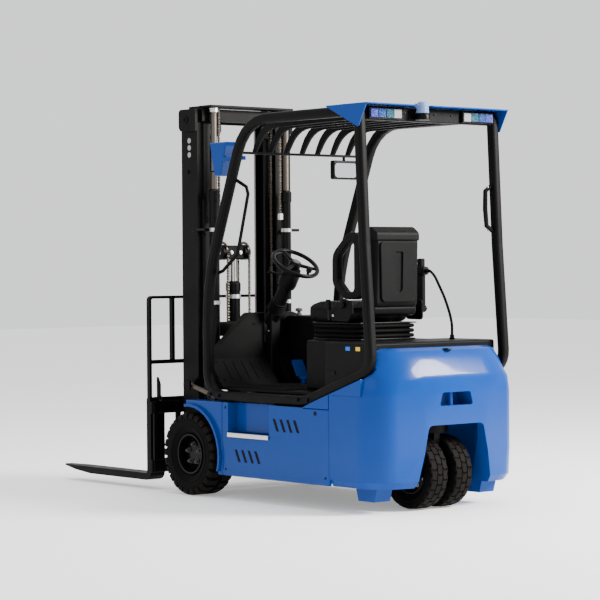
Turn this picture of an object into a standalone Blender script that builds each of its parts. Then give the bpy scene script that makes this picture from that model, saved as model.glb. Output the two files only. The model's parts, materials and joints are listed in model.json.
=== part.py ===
"""Three-wheel electric counterbalance forklift with a full-free triplex mast.

Metres, +Z up.  The truck looks along -Y (forks in front), the driver's left is +X.
The origin lies on the floor under the middle of the whole box, forks included.
Lengths along the truck are written from the front axle (front is negative) and
placed with at(), so the whole design follows WHEELBASE and the axle datum.
"""

import math

import bmesh
import bpy
from mathutils import Matrix, Vector

# ---------------------------------------------------------------- driving sizes
BODY_W = 1.026            # over the side panels
FLARE_OUT = 0.531         # outer rim of the front fenders, from the centre
WHEELBASE = 1.365         # front axle to steer axis
REAR_OVERHANG = 0.223     # steer axis to the back of the counterweight
FORK_L = 0.870            # fork blade, from the load face
LOAD_FACE = -0.459        # front face of the fork shanks, from the front axle

FRONT_TYRE_R = 0.229      # 18x7-8 tyre
FRONT_TYRE_W = 0.170
FRONT_TRACK_OUT = 0.536   # outer face of a front tyre, from the centre
REAR_TYRE_R = 0.190       # 15x4.5-8 tyre
REAR_TYRE_W = 0.114
REAR_TYRE_GAP = 0.060     # between the twin tyres
RIM_R = 0.112             # bead seat of every rim
TYRE_FIT = 0.0004         # rim to tyre bore
RUN_GAP = 0.006           # between moving pieces

MAST_H = 2.172            # lowered mast
OUTER_TOP = MAST_H - 0.022
INNER_TOP = MAST_H - 0.027
MAST_HALF_W = 0.340       # outside of the outer rails
RAIL_W = 0.048            # each nested rail, side to side
RAIL_GAP = 0.006          # between neighbouring rails
MAST_FRONT = -0.294       # front of the rails
OUTER_REAR = -0.150       # back of the outer rails
MIDDLE_REAR = -0.162      # back of the middle rails
INNER_REAR = -0.192       # back of the inner rails
MAST_FOOT_Z = 0.085       # lower end of the outer rails
PIVOT_Y = -0.108          # mast tilt pin
PIVOT_Z = FRONT_TYRE_R
PIN_R = 0.0175            # mast tilt pin
PIN_FIT = 0.0006

GUARD_HALF_W = 0.497      # outside of the guard loops
GUARD_TUBE = 0.055        # guard tube in the plane of the loop
GUARD_TUBE_X = 0.050      # guard tube across
GUARD_TOP = 2.078
GUARD_FOOT = 0.530        # underside of the lower rail
SILL_Z = 0.526            # top of the blue side panels
PANEL_LOW = 0.130         # lower edge of the side panels
PANEL_T = 0.024
FLOOR_TOP = 0.602
FLOOR_T = 0.014
FIT = 0.0006              # between pieces that lie against each other

SEAM_FENDER = 0.282       # fender to side panel
SEAM_REAR = 1.175         # side panel to counterweight
CW_TOP = 0.840            # top of the counterweight
HOOD_REAR = 1.418         # back of the battery hood
HOOD_FRONT = 0.745
HOOD_TOP = 0.868
HOOD_STEP = 1.060         # where the hood widens
HOOD_HALF_W = 0.446
HOOD_NECK_HALF_W = 0.305
HOOD_T = 0.012

# ---------------------------------------------------------------- derived places
CW_REAR = WHEELBASE + REAR_OVERHANG
FORK_TIP = LOAD_FACE - FORK_L
AXLE_Y = -(CW_REAR + FORK_TIP) / 2
HALF_W = BODY_W / 2
OUTER_X = MAST_HALF_W
MIDDLE_X = OUTER_X - RAIL_W - RAIL_GAP
INNER_X = MIDDLE_X - RAIL_W - RAIL_GAP
CLEAR_X = INNER_X - RAIL_W
GUARD_X = GUARD_HALF_W - GUARD_TUBE_X

# ---------------------------------------------------------------- finishes
BLUE = ("blue_paint", (0.020, 0.175, 0.640, 1), 0.30, 0.0)
BLACK = ("black_paint", (0.014, 0.013, 0.013, 1), 0.45, 0.0)
STEEL = ("bright_steel", (0.620, 0.620, 0.610, 1), 0.25, 1.0)
GREY = ("grey_iron", (0.080, 0.078, 0.075, 1), 0.50, 0.4)
PLASTIC = ("black_plastic", (0.022, 0.021, 0.021, 1), 0.55, 0.0)
RUBBER = ("rubber", (0.030, 0.028, 0.026, 1), 0.80, 0.0)
VINYL = ("seat_vinyl", (0.018, 0.018, 0.018, 1), 0.60, 0.0)
LENS = ("lamp_lens", (0.250, 0.450, 0.850, 1), 0.15, 0.0)


def at(x, y, z):
    """Return a world point, y being measured from the front axle."""
    return Vector((x, AXLE_Y + y, z))


def collection(name):
    """Return the named collection, made on first use."""
    found = bpy.data.collections.get(name)
    if found is None:
        found = bpy.data.collections.new(name)
        bpy.context.scene.collection.children.link(found)
    return found


def material(finish):
    """Return the Principled material of one finish."""
    name, colour, roughness, metallic = finish
    mat = bpy.data.materials.get(name)
    if mat is None:
        mat = bpy.data.materials.new(name)
        mat.use_nodes = True
        shader = mat.node_tree.nodes["Principled BSDF"]
        shader.inputs["Base Color"].default_value = colour
        shader.inputs["Roughness"].default_value = roughness
        shader.inputs["Metallic"].default_value = metallic
        mat.diffuse_color = colour
    return mat


def from_mesh(name, mesh, finish, origin=None):
    """Put a world-space mesh into the parts collection, its origin where asked."""
    obj = bpy.data.objects.new(name, mesh)
    collection("forklift").objects.link(obj)
    mesh.materials.clear()
    mesh.materials.append(material(finish))
    if origin is not None:
        mesh.transform(Matrix.Translation(-origin))
        obj.location = origin
    return obj


def settle(obj):
    """Return the object's evaluated world-space mesh and remove the object."""
    bpy.context.view_layer.update()
    graph = bpy.context.evaluated_depsgraph_get()
    mesh = bpy.data.meshes.new_from_object(obj.evaluated_get(graph))
    mesh.transform(obj.matrix_world)
    work = bmesh.new()
    work.from_mesh(mesh)
    bmesh.ops.remove_doubles(work, verts=work.verts, dist=1e-5)
    bmesh.ops.recalc_face_normals(work, faces=work.faces)
    work.to_mesh(mesh)
    work.free()
    bpy.data.objects.remove(obj)
    return mesh


def rounded(corners, steps=3):
    """Return an outline whose corners (u, v, radius) are turned into arcs."""
    outline = []
    count = len(corners)
    for i, (u, v, radius) in enumerate(corners):
        here = Vector((u, v))
        before = Vector(corners[i - 1][:2]) - here
        after = Vector(corners[(i + 1) % count][:2]) - here
        if radius <= 0:
            outline.append((u, v))
            continue
        before.normalize()
        after.normalize()
        half = before.angle(after) / 2
        run = radius / math.tan(half)
        middle = here + (before + after).normalized() * (radius / math.sin(half))
        first = here + before * run - middle
        last = here + after * run - middle
        sweep = first.angle_signed(last)
        for k in range(steps + 1):
            turned = first.copy()
            turned.rotate(Matrix.Rotation(-sweep * k / steps, 2))
            outline.append(tuple(middle + turned))
    return outline


def inset(corners, gap):
    """Return the corners of a closed outline moved inwards (left turns)."""
    lines = []
    count = len(corners)
    for i in range(count):
        start = Vector(corners[i][:2])
        along = (Vector(corners[(i + 1) % count][:2]) - start).normalized()
        inward = Vector((-along.y, along.x))
        lines.append((start + inward * gap, along))
    moved = []
    for i in range(count):
        p, a = lines[i - 1]
        q, b = lines[i]
        cross = a.x * b.y - a.y * b.x
        t = ((q.x - p.x) * b.y - (q.y - p.y) * b.x) / cross
        turn = 1 if cross > 0 else -1
        radius = max(corners[i][2] - turn * gap, 0.012)
        moved.append(((p + a * t).x, (p + a * t).y, radius))
    return moved


AXES = {
    "X": Matrix(((0, 0, 1, 0), (1, 0, 0, 0), (0, 1, 0, 0), (0, 0, 0, 1))),
    "Y": Matrix(((1, 0, 0, 0), (0, 0, -1, 0), (0, 1, 0, 0), (0, 0, 0, 1))),
    "Z": Matrix.Identity(4),
}


def slab(axis, low, high, *outlines, soft=0.0):
    """Return the mesh of flat outlines drawn out along an axis from low to high.

    Outlines are (u, v) lists: (y, z) for X, (x, z) for Y and (x, y) for Z; y is
    from the front axle.  A second outline is a hole.  soft rounds the rims.
    """
    curve = bpy.data.curves.new("slab", "CURVE")
    curve.dimensions = "2D"
    curve.fill_mode = "BOTH"
    curve.extrude = abs(high - low) / 2 - soft
    curve.bevel_depth = soft
    curve.offset = -soft
    curve.bevel_resolution = 0
    for outline in outlines:
        spline = curve.splines.new("POLY")
        spline.points.add(len(outline) - 1)
        spline.use_cyclic_u = True
        for point, (u, v) in zip(spline.points, outline):
            point.co = (u, v, 0, 1)
    obj = bpy.data.objects.new("slab", curve)
    bpy.context.scene.collection.objects.link(obj)
    middle = (low + high) / 2
    shift = {"X": (middle, AXLE_Y, 0), "Y": (0, AXLE_Y + middle, 0), "Z": (0, AXLE_Y, middle)}
    obj.matrix_world = Matrix.Translation(shift[axis]) @ AXES[axis]
    return settle(obj)


def block(x, y, z, bevel=0.0, segments=2):
    """Return the mesh of a box from (low, high) pairs, its edges bevelled."""
    bpy.ops.mesh.primitive_cube_add(size=1)
    obj = bpy.context.object
    obj.location = at(sum(x) / 2, sum(y) / 2, sum(z) / 2)
    obj.data.transform(Matrix.Diagonal((x[1] - x[0], y[1] - y[0], z[1] - z[0], 1)))
    if bevel > 0:
        mod = obj.modifiers.new("edge", "BEVEL")
        mod.width = bevel
        mod.segments = segments
    return settle(obj)


def turned(profile, centre, axis="X", steps=20):
    """Return the mesh of a closed (radius, height) profile spun about an axis."""
    mesh = bpy.data.meshes.new("profile")
    points = [(r, 0, h) for r, h in profile]
    closed = min(r for r, h in profile) > 1e-6
    edges = [(i, i + 1) for i in range(len(points) - 1)]
    if closed:
        edges.append((len(points) - 1, 0))
    mesh.from_pydata(points, edges, [])
    obj = bpy.data.objects.new("profile", mesh)
    bpy.context.scene.collection.objects.link(obj)
    screw = obj.modifiers.new("spin", "SCREW")
    screw.steps = steps
    screw.render_steps = steps
    screw.use_merge_vertices = True
    screw.merge_threshold = 1e-5
    turn = {
        "X": Matrix.Rotation(math.pi / 2, 4, "Y"),
        "Y": Matrix.Rotation(-math.pi / 2, 4, "X"),
        "Z": Matrix.Identity(4),
    }
    obj.matrix_world = Matrix.Translation(centre) @ (turn[axis] if isinstance(axis, str) else axis)
    return settle(obj)


def rod(start, end, radius, steps=12, bore=0.0):
    """Return the mesh of a straight round bar, or of a tube when bore is given."""
    along = end - start
    aim = along.to_track_quat("Z", "Y").to_matrix().to_4x4()
    length = along.length
    if bore > 0:
        profile = [(bore, 0), (radius, 0), (radius, length), (bore, length)]
    else:
        profile = [(0, 0), (radius, 0), (radius, length), (0, length)]
    return turned(profile, start, aim, steps)


def pipe(points, radius, sides=8):
    """Return the mesh of a bent round bar through the points."""
    curve = bpy.data.curves.new("pipe", "CURVE")
    curve.dimensions = "3D"
    curve.bevel_depth = radius
    curve.bevel_resolution = sides // 4
    curve.use_fill_caps = True
    spline = curve.splines.new("POLY")
    spline.points.add(len(points) - 1)
    for point, place in zip(spline.points, points):
        point.co = (*place, 1)
    obj = bpy.data.objects.new("pipe", curve)
    bpy.context.scene.collection.objects.link(obj)
    return settle(obj)


def joined(base, others, operation="UNION"):
    """Return the Boolean of a mesh with a list of meshes."""
    body = bpy.data.objects.new("body", base)
    bpy.context.scene.collection.objects.link(body)
    tools = []
    for mesh in others:
        tool = bpy.data.objects.new("tool", mesh)
        collection("cutters").objects.link(tool)
        mod = body.modifiers.new("part", "BOOLEAN")
        mod.operation = operation
        mod.solver = "EXACT"
        mod.object = tool
        tools.append(tool)
    result = settle(body)
    for tool in tools:
        bpy.data.objects.remove(tool)
    return result


def cut(base, cutters):
    """Return the mesh with the cutters taken away."""
    return joined(base, cutters, "DIFFERENCE")


def both_sides(make):
    """Run a maker for the left (+1) and the right (-1) side."""
    for side, word in ((1, "left"), (-1, "right")):
        make(side, word)


def span(side, near, far):
    """Return the (low, high) pair of a distance range on one side."""
    return tuple(sorted((side * near, side * far)))


# ---------------------------------------------------------------- guard
def guard_corners():
    """Corners (y, z, radius) of the outside of a guard loop, seen from the side."""
    return [
        (0.085, GUARD_FOOT, 0.160),
        (0.950, GUARD_FOOT, 0.350),
        (CW_REAR - 0.098, 0.715, 0.130),
        (CW_REAR - 0.148, 1.370, 1.000),
        (CW_REAR - 0.183, GUARD_TOP, 0.050),
        (0.433, GUARD_TOP, 0.290),
        (0.085, 1.186, 1.200),
    ]


def guard_loop(side, word):
    """A closed loop of tube: both pillars, the roof rail and the sill."""
    outer = guard_corners()
    low, high = span(side, GUARD_X, GUARD_HALF_W)
    mesh = slab("X", low, high, rounded(outer, 5), rounded(inset(outer, GUARD_TUBE), 5), soft=0.010)
    from_mesh(f"guard_loop_{word}", mesh, BLACK)


ROOF_STRIP_Y = 0.345
ROOF_STRIP_Z = 1.886
ROOF_BEAM_Y = CW_REAR - 0.226
BEACON_X = 0.095
BAR_COUNT = 7
BAR_T = 0.014


def roof():
    """The bars over the driver between a front strip and a rear beam."""
    half = GUARD_X - FIT
    rise = GUARD_TOP - 0.022
    strip = block((-half, half), (ROOF_STRIP_Y - 0.006, ROOF_STRIP_Y + 0.034), (ROOF_STRIP_Z - 0.012, ROOF_STRIP_Z))
    beam = block((-half, half), (ROOF_BEAM_Y, ROOF_BEAM_Y + 0.040), (GUARD_TOP - 0.075, GUARD_TOP - 0.004), 0.004, 1)
    bar = rounded([
        (ROOF_STRIP_Y, ROOF_STRIP_Z - 0.006, 0),
        (ROOF_STRIP_Y + 0.030, ROOF_STRIP_Z - 0.006, 0),
        (0.470, 2.010, 0.180),
        (ROOF_BEAM_Y + 0.010, rise - 0.034, 0),
        (ROOF_BEAM_Y + 0.010, rise, 0),
        (0.425, rise, 0.220),
    ], 5)
    bars = []
    pitch = 2 * half / (BAR_COUNT + 1)
    for i in range(BAR_COUNT):
        x = -half + pitch * (i + 1)
        bars.append(slab("X", x - BAR_T / 2, x + BAR_T / 2, bar))
    from_mesh("roof_grille", joined(strip, [beam] + bars), BLACK)


def visor():
    """The blue cap over the back of the roof with a wing down each side."""
    top = GUARD_TOP + 0.001
    rim = top + 0.006
    front = CW_REAR - 0.433
    back = CW_REAR - 0.118
    half = GUARD_HALF_W + 0.001
    skin = block((-half - 0.004, half + 0.004), (front + 0.10, back + 0.001), (top, rim + 0.001))
    wings = []
    outline = [(front, top + 0.001), (front, rim), (back, rim), (back - 0.062, 1.970), (back - 0.076, 1.968)]
    for side in (1, -1):
        low, high = span(side, half, half + 0.005)
        wings.append(slab("X", low, high, outline))
    niche = block((BEACON_X - 0.050, BEACON_X + 0.050), (ROOF_BEAM_Y + 0.030, 1.6), (2.0, 2.2))
    from_mesh("roof_visor", cut(joined(skin, wings), [niche]), BLUE)


def roof_fittings():
    """Beacon, rear lamps, head lamps and the mirror."""
    beam_back = ROOF_BEAM_Y + 0.040
    foot = at(BEACON_X, beam_back + 0.044, GUARD_TOP - 0.061)
    bracket = block((BEACON_X - 0.035, BEACON_X + 0.035), (beam_back + FIT, beam_back + 0.078), (GUARD_TOP - 0.068, GUARD_TOP - 0.060))
    base = turned([(0, 0), (0.040, 0), (0.040, 0.028), (0.037, 0.032), (0, 0.032)], foot, "Z", 20)
    dome = turned([(0, 0.026), (0.036, 0.026), (0.034, 0.076), (0.028, 0.086), (0, 0.089)], foot, "Z", 20)
    from_mesh("warning_beacon", joined(bracket, [base, dome]), LENS)

    def rear_lamp(side, word):
        y = (beam_back + FIT, beam_back + 0.024)
        z = (GUARD_TOP - 0.068, GUARD_TOP - 0.012)
        from_mesh(f"rear_lamp_{word}", block(span(side, 0.215, 0.440), y, z, 0.004, 1), LENS)

    both_sides(rear_lamp)

    outline = [(0.100, 1.945), (0.250, 1.945), (0.196, 1.760), (0.142, 1.760)]
    housing = slab("X", 0.375, GUARD_X - FIT, outline, soft=0.006)
    arm = block((GUARD_X - 0.028, GUARD_X - FIT), (0.190, 0.392), (1.840, 1.862), 0.003, 1)
    from_mesh("head_lamp_left", joined(housing, [arm]), BLUE)
    stem_z = ROOF_STRIP_Z - 0.012 - FIT
    stem = rod(at(-0.310, ROOF_STRIP_Y + 0.014, stem_z), at(-0.310, ROOF_STRIP_Y + 0.014, stem_z - 0.030), 0.008, 8)
    glass = block((-0.400, -0.220), (ROOF_STRIP_Y - 0.004, ROOF_STRIP_Y + 0.030), (stem_z - 0.125, stem_z - 0.018), 0.010, 2)
    from_mesh("interior_mirror", joined(glass, [stem]), PLASTIC)


def grips():
    """The grab handle on the right rear pillar and the bar on the left front one."""
    face = -GUARD_X + FIT
    middle = CW_REAR - 0.198
    path = [at(face, middle, 1.680), at(face + 0.034, middle - 0.005, 1.655), at(face + 0.038, middle - 0.003, 1.560),
            at(face + 0.034, middle + 0.003, 1.470), at(face, middle + 0.010, 1.445)]
    handle = pipe(path, 0.013, 8)
    keep = block((face, face + 0.1), (middle - 0.1, middle + 0.1), (1.3, 1.8))
    from_mesh("grab_handle", joined(handle, [keep], "INTERSECT"), PLASTIC)
    wall = GUARD_X - FIT
    reach = [at(wall + 0.020, 0.300, 1.745), at(wall - 0.012, 0.335, 1.728), at(wall - 0.024, 0.395, 1.695),
             at(wall - 0.028, 0.405, 1.655), at(wall - 0.020, 0.320, 1.330), at(wall - 0.008, 0.205, 1.240),
             at(wall + 0.020, 0.150, 1.215)]
    bar = pipe(reach, 0.010, 8)
    keep = block((wall - 0.2, wall), (0.0, 0.6), (1.1, 1.9))
    from_mesh("assist_bar", joined(bar, [keep], "INTERSECT"), BLACK)


# ---------------------------------------------------------------- chassis
BAY_R = 0.262             # swing room of the twin wheels
BAY_TOP = 0.446
FRAME_X = 0.440           # outside of the frame side plates
FRAME_T = 0.020
TRAY_Z = 0.150            # underside of the frame tray
TILT_X = 0.372            # centre of a tilt cylinder
TILT_BASE = (0.420, 0.452)
TILT_EYE = (-0.190, 0.600)
STEER_PLATE_Z = (0.452, 0.492)


def swing_bay(top):
    """Return a cutter for the space in which the twin wheels turn."""
    return rod(at(0, WHEELBASE, PANEL_LOW - 0.10), at(0, WHEELBASE, top), BAY_R, 20)


def chassis():
    """The welded frame: tray, side plates, bulkheads, tilt lugs and steering plate."""
    inner = FRAME_X - FRAME_T
    tray = block((-FRAME_X, FRAME_X), (0.270, SEAM_REAR - FIT), (TRAY_Z, TRAY_Z + 0.015))
    parts = []
    for side in (1, -1):
        parts.append(block(span(side, inner, FRAME_X), (0.320, SEAM_REAR - FIT), (TRAY_Z, 0.520)))
        for y in (SEAM_FENDER + 0.020, SEAM_FENDER + 0.432, SEAM_REAR - 0.075):
            parts.append(block(span(side, FRAME_X - 0.005, HALF_W - PANEL_T - FIT), (y, y + 0.020), (0.440, 0.520)))
        for x in (TILT_X - 0.030, TILT_X + 0.020):
            lug = rounded([(TILT_BASE[0] - 0.020, 0.432, 0.018), (0.470, 0.400, 0), (0.470, 0.500, 0),
                           (TILT_BASE[0] - 0.020, 0.476, 0.018)])
            parts.append(slab("X", *span(side, x, x + 0.010), lug))
        pin = rod(at(side * (TILT_X - 0.031), *TILT_BASE), at(side * (TILT_X + 0.031), *TILT_BASE), 0.0110)
        parts.append(pin)
    parts.append(block((-inner - 0.005, inner + 0.005), (0.460, 0.480), (TRAY_Z, 0.520)))
    parts.append(block((-inner - 0.005, inner + 0.005), (SEAM_REAR - 0.100, SEAM_REAR - 0.080), (TRAY_Z + 0.010, 0.520)))
    for side in (1, -1):
        parts.append(block(span(side, 0.200, 0.225), (0.095, 0.465), (TRAY_Z + 0.005, 0.380)))
    parts.append(block((-0.230, 0.230), (0.080, 0.100), (TRAY_Z - 0.005, 0.545)))
    parts.append(block((-0.335, 0.335), (0.078, 0.102), (0.520, 0.560)))
    parts.append(block((-0.200, 0.200), (SEAM_REAR - 0.095, WHEELBASE + 0.155), STEER_PLATE_Z))
    frame = joined(tray, parts)
    frame = cut(frame, [swing_bay(BAY_TOP + 0.001)])
    boss = rod(at(0, WHEELBASE, BAY_TOP - 0.004), at(0, WHEELBASE, STEER_PLATE_Z[1] + 0.002), 0.085, 16)
    from_mesh("chassis_frame", joined(frame, [boss]), BLACK)
    battery = block((-0.400, 0.400), (0.490, SEAM_REAR - 0.110), (TRAY_Z + 0.018, 0.570), 0.006, 1)
    from_mesh("battery_block", battery, GREY)


def axle():
    """The front drive axle: housing, motor bulge and the eyes that carry the mast."""
    inner = FRONT_TRACK_OUT - FRONT_TYRE_W
    centre = at(0, 0, FRONT_TYRE_R)
    end = inner + 0.060
    profile = [(0, -end), (0.045, -end), (0.045, -inner + 0.010), (0.060, -inner + 0.010),
               (0.060, inner - 0.010), (0.045, inner - 0.010), (0.045, end), (0, end)]
    housing = turned(profile, centre, "X", 16)
    parts = [rod(at(0, -0.030, FRONT_TYRE_R), at(0, 0.150, FRONT_TYRE_R), 0.068, 16)]
    for side in (1, -1):
        eye = rounded([(PIVOT_Y - 0.034, PIVOT_Z - 0.034, 0.032), (0.0, PIVOT_Z - 0.055, 0),
                       (0.0, PIVOT_Z + 0.055, 0), (PIVOT_Y - 0.034, PIVOT_Z + 0.034, 0.032)])
        parts.append(slab("X", *span(side, 0.296, 0.322), eye))
    housing = joined(housing, parts)
    holes = []
    for side in (1, -1):
        holes.append(rod(at(side * 0.28, PIVOT_Y, PIVOT_Z), at(side * 0.34, PIVOT_Y, PIVOT_Z), PIN_R + PIN_FIT, 12))
    holes.append(block((-0.3, 0.3), (0.080 - FIT, 0.3), (0.0, 0.4)))
    from_mesh("drive_axle", cut(housing, holes), BLACK)


def side_bodywork(side, word):
    """Front fender and side panel of one side."""
    arch = FRONT_TYRE_R + 0.034
    inner_x = 0.412
    top = SILL_Z
    low, high = span(side, inner_x, HALF_W)
    outline = [(-0.046, top), (SEAM_FENDER - 0.002, top), (SEAM_FENDER - 0.002, PANEL_LOW), (0.150, PANEL_LOW)]
    wing = slab("X", low, high, outline + [(-0.046, 0.30)], soft=0.006)
    wheel = rod(at(side * 0.3, 0, FRONT_TYRE_R), at(side * 0.6, 0, FRONT_TYRE_R), arch, 32)
    behind = block(span(side, 0.3, HALF_W - 0.030), (0.258, 0.32), (0.0, 0.6))
    band = []
    for radius, angles in ((arch + 0.015, range(98, -21, -7)), (arch - 0.012, range(-21, 99, 7))):
        for a in angles:
            turn = math.radians(a)
            band.append((radius * math.cos(turn), FRONT_TYRE_R + radius * math.sin(turn)))
    flare = slab("X", *span(side, HALF_W - 0.010, FLARE_OUT), band)
    wing = joined(wing, [flare])
    below = block(span(side, 0.3, 0.6), (-0.2, 0.0), (0.0, 0.44))
    from_mesh(f"front_fender_{word}", cut(wing, [wheel, behind, below]), BLUE)

    panel = block(span(side, HALF_W - PANEL_T, HALF_W), (SEAM_FENDER, SEAM_REAR - 0.002), (PANEL_LOW, top), 0.006, 1)
    box_y = (SEAM_FENDER + 0.053, SEAM_FENDER + 0.405)
    tread_z = 0.365
    tub = block(span(side, FRAME_X + 0.002, HALF_W - 0.003), (box_y[0] - 0.008, box_y[1] + 0.008),
                (tread_z - 0.012, top - 0.002))
    recess = block(span(side, FRAME_X + 0.010, HALF_W + 0.02), box_y, (tread_z, top + 0.02))
    nosing = block(span(side, HALF_W - 0.030, HALF_W + 0.003), (box_y[0] + 0.001, box_y[1] - 0.001),
                   (tread_z - 0.010, tread_z - 0.001))
    body = joined(cut(joined(panel, [tub]), [recess]), [nosing])
    slots = []
    for row_y, row_z in ((SEAM_FENDER + 0.438, 0.424), (SEAM_FENDER + 0.112, 0.243)):
        for i in range(4):
            y = row_y + 0.024 + i * 0.056
            slots.append(slab("X", *span(side, HALF_W - 0.05, HALF_W + 0.02), slot_outline(y, row_z)))
    from_mesh(f"side_panel_{word}", cut(body, slots), BLUE)


def slot_outline(y, z):
    """Outline of one slanted air slot about its middle."""
    lean = 0.016
    half_h = 0.033
    half_w = 0.011
    return [(y - lean - half_w, z + half_h), (y + lean - half_w, z - half_h),
            (y + lean + half_w, z - half_h), (y - lean + half_w, z + half_h)]


def ring_outline(half, back, radius, front, corner_steps=5):
    """Plan outline (x, y) of the counterweight at one height."""
    bulge = 0.018
    points = [(half, front), (half, back - radius - bulge)]
    for k in range(1, corner_steps + 1):
        a = math.pi / 2 * k / corner_steps
        points.append((half - radius + radius * math.cos(a), back - radius - bulge + radius * math.sin(a)))
    points.append((half * 0.45, back - bulge * 0.2))
    points.append((0, back))
    mirrored = [(-x, y) for x, y in reversed(points[:-1])]
    return points + mirrored


def counterweight():
    """The cast rear end, lofted level by level, with wheel bay, arch and tow window."""
    front = SEAM_REAR
    back = CW_REAR
    levels = (
        (PANEL_LOW, HALF_W - 0.028, back - 0.034, 0.16),
        (PANEL_LOW + 0.035, HALF_W - 0.004, back - 0.010, 0.18),
        (0.300, HALF_W, back, 0.19),
        (0.600, HALF_W, back, 0.19),
        (0.680, HALF_W - 0.012, back - 0.002, 0.19),
        (0.712, HALF_W - 0.022, back - 0.012, 0.20),
        (0.780, HALF_W - 0.044, back - 0.040, 0.19),
        (0.825, HALF_W - 0.062, back - 0.072, 0.17),
        (CW_TOP, HALF_W - 0.090, back - 0.105, 0.15),
    )
    work = bmesh.new()
    rings = []
    for z, half, rear, radius in levels:
        rings.append([work.verts.new(at(x, y, z)) for x, y in ring_outline(half, rear, radius, front)])
    count = len(rings[0])
    for lower, upper in zip(rings, rings[1:]):
        for i in range(count):
            j = (i + 1) % count
            work.faces.new((lower[i], lower[j], upper[j], upper[i]))
    work.faces.new(list(reversed(rings[0])))
    work.faces.new(rings[-1])
    bmesh.ops.recalc_face_normals(work, faces=work.faces)
    mesh = bpy.data.meshes.new("counterweight")
    work.to_mesh(mesh)
    work.free()

    feet = []
    for side in (1, -1):
        foot = [(1.452, PANEL_LOW + 0.03), (1.422, 0.060), (1.300, 0.060), (1.270, PANEL_LOW + 0.03)]
        feet.append(slab("X", *span(side, 0.318, 0.425), foot))
    mesh = joined(mesh, feet)
    arch = rounded([(-0.192, BAY_TOP, 0.030), (-0.290, 0.0, 0), (0.290, 0.0, 0), (0.192, BAY_TOP, 0.030)])
    window = rounded([(-0.118, 0.543, 0.012), (0.118, 0.543, 0.012), (0.098, 0.612, 0.012), (-0.098, 0.612, 0.012)])
    seat = inset(guard_corners(), -0.004)
    cutters = [
        swing_bay(BAY_TOP),
        slab("Y", WHEELBASE, back + 0.05, arch),
        slab("Y", back - 0.110, back + 0.05, window),
        block((-0.202, 0.202), (front - 0.1, 1.522), (0.3, STEER_PLATE_Z[1] + 0.006)),
        block((-HALF_W, HALF_W), (front - 0.1, HOOD_REAR + 0.004), (0.600, 1.0)),
    ]
    for side in (1, -1):
        cutters.append(slab("X", *span(side, GUARD_X - 0.003, HALF_W + 0.02), rounded(seat, 5)))
    mesh = cut(mesh, cutters)
    pin = rod(at(0, back - 0.050, 0.535), at(0, back - 0.050, 0.620), 0.013, 10)
    from_mesh("counterweight", joined(mesh, [pin]), BLUE)


COWL_Y = (0.030, 0.076)
COLUMN_POST_Y = (0.080, 0.124)


def floor_and_cowl():
    """Floor plate, front cowl with the console, and the pedal."""
    half = GUARD_X - 0.004
    neck = HOOD_NECK_HALF_W + RUN_GAP
    outline = [(-half, COWL_Y[0] + 0.004), (half, COWL_Y[0] + 0.004), (half, HOOD_STEP - RUN_GAP), (neck, HOOD_STEP - RUN_GAP),
               (neck, HOOD_FRONT - RUN_GAP), (-neck, HOOD_FRONT - RUN_GAP), (-neck, HOOD_STEP - RUN_GAP),
               (-half, HOOD_STEP - RUN_GAP)]
    from_mesh("floor_plate", slab("Z", FLOOR_TOP - FLOOR_T, FLOOR_TOP, outline), BLACK)

    base = FLOOR_TOP + FIT
    shape = rounded([(half, base, 0), (half, 0.760, 0.030), (0.160, 1.005, 0.040), (-0.170, 1.005, 0.040),
                     (-half, 0.900, 0.030), (-half, base, 0)])
    wall = slab("Y", COWL_Y[0], COWL_Y[1], shape, soft=0.004)
    step = slab("X", -half + 0.004, half - 0.004, [(COWL_Y[1] - 0.006, base + 0.001), (0.200, base + 0.001),
                                                   (COWL_Y[1] - 0.006, 0.760)])
    console = block((-half + 0.001, -0.120), (COWL_Y[1] - 0.010, 0.470), (base + 0.002, 0.985), 0.014, 2)
    tray = block((-0.400, -0.165), (0.250, 0.440), (0.955, 1.1), 0.006, 1)
    notch = block((-0.048, 0.048), (COWL_Y[0] - 0.02, 0.3), (0.840, 1.1))
    slot = block((-0.037, 0.037), (COLUMN_POST_Y[0] - 0.001, 0.3), (0.5, 1.1))
    body = cut(joined(wall, [step, console]), [tray, notch, slot])
    from_mesh("front_cowl", body, PLASTIC)

    hinge = block((-0.100, -0.060), (0.255, 0.295), (base, 0.640), 0.004, 1)
    tilt = [(0.268, 0.622), (0.280, 0.632), (0.222, 0.738), (0.210, 0.730)]
    pad = slab("X", -0.112, -0.038, tilt)
    from_mesh("accelerator_pedal", joined(hinge, [pad]), BLUE)


WHEEL_AT = (0.300, 1.278)     # hub of the steering wheel
WHEEL_LEAN = math.radians(34) # its axis leans back from upright


def column_axis():
    """Unit vector of the steering column, pointing up to the driver."""
    return Vector((0, math.sin(WHEEL_LEAN), math.cos(WHEEL_LEAN)))


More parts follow.
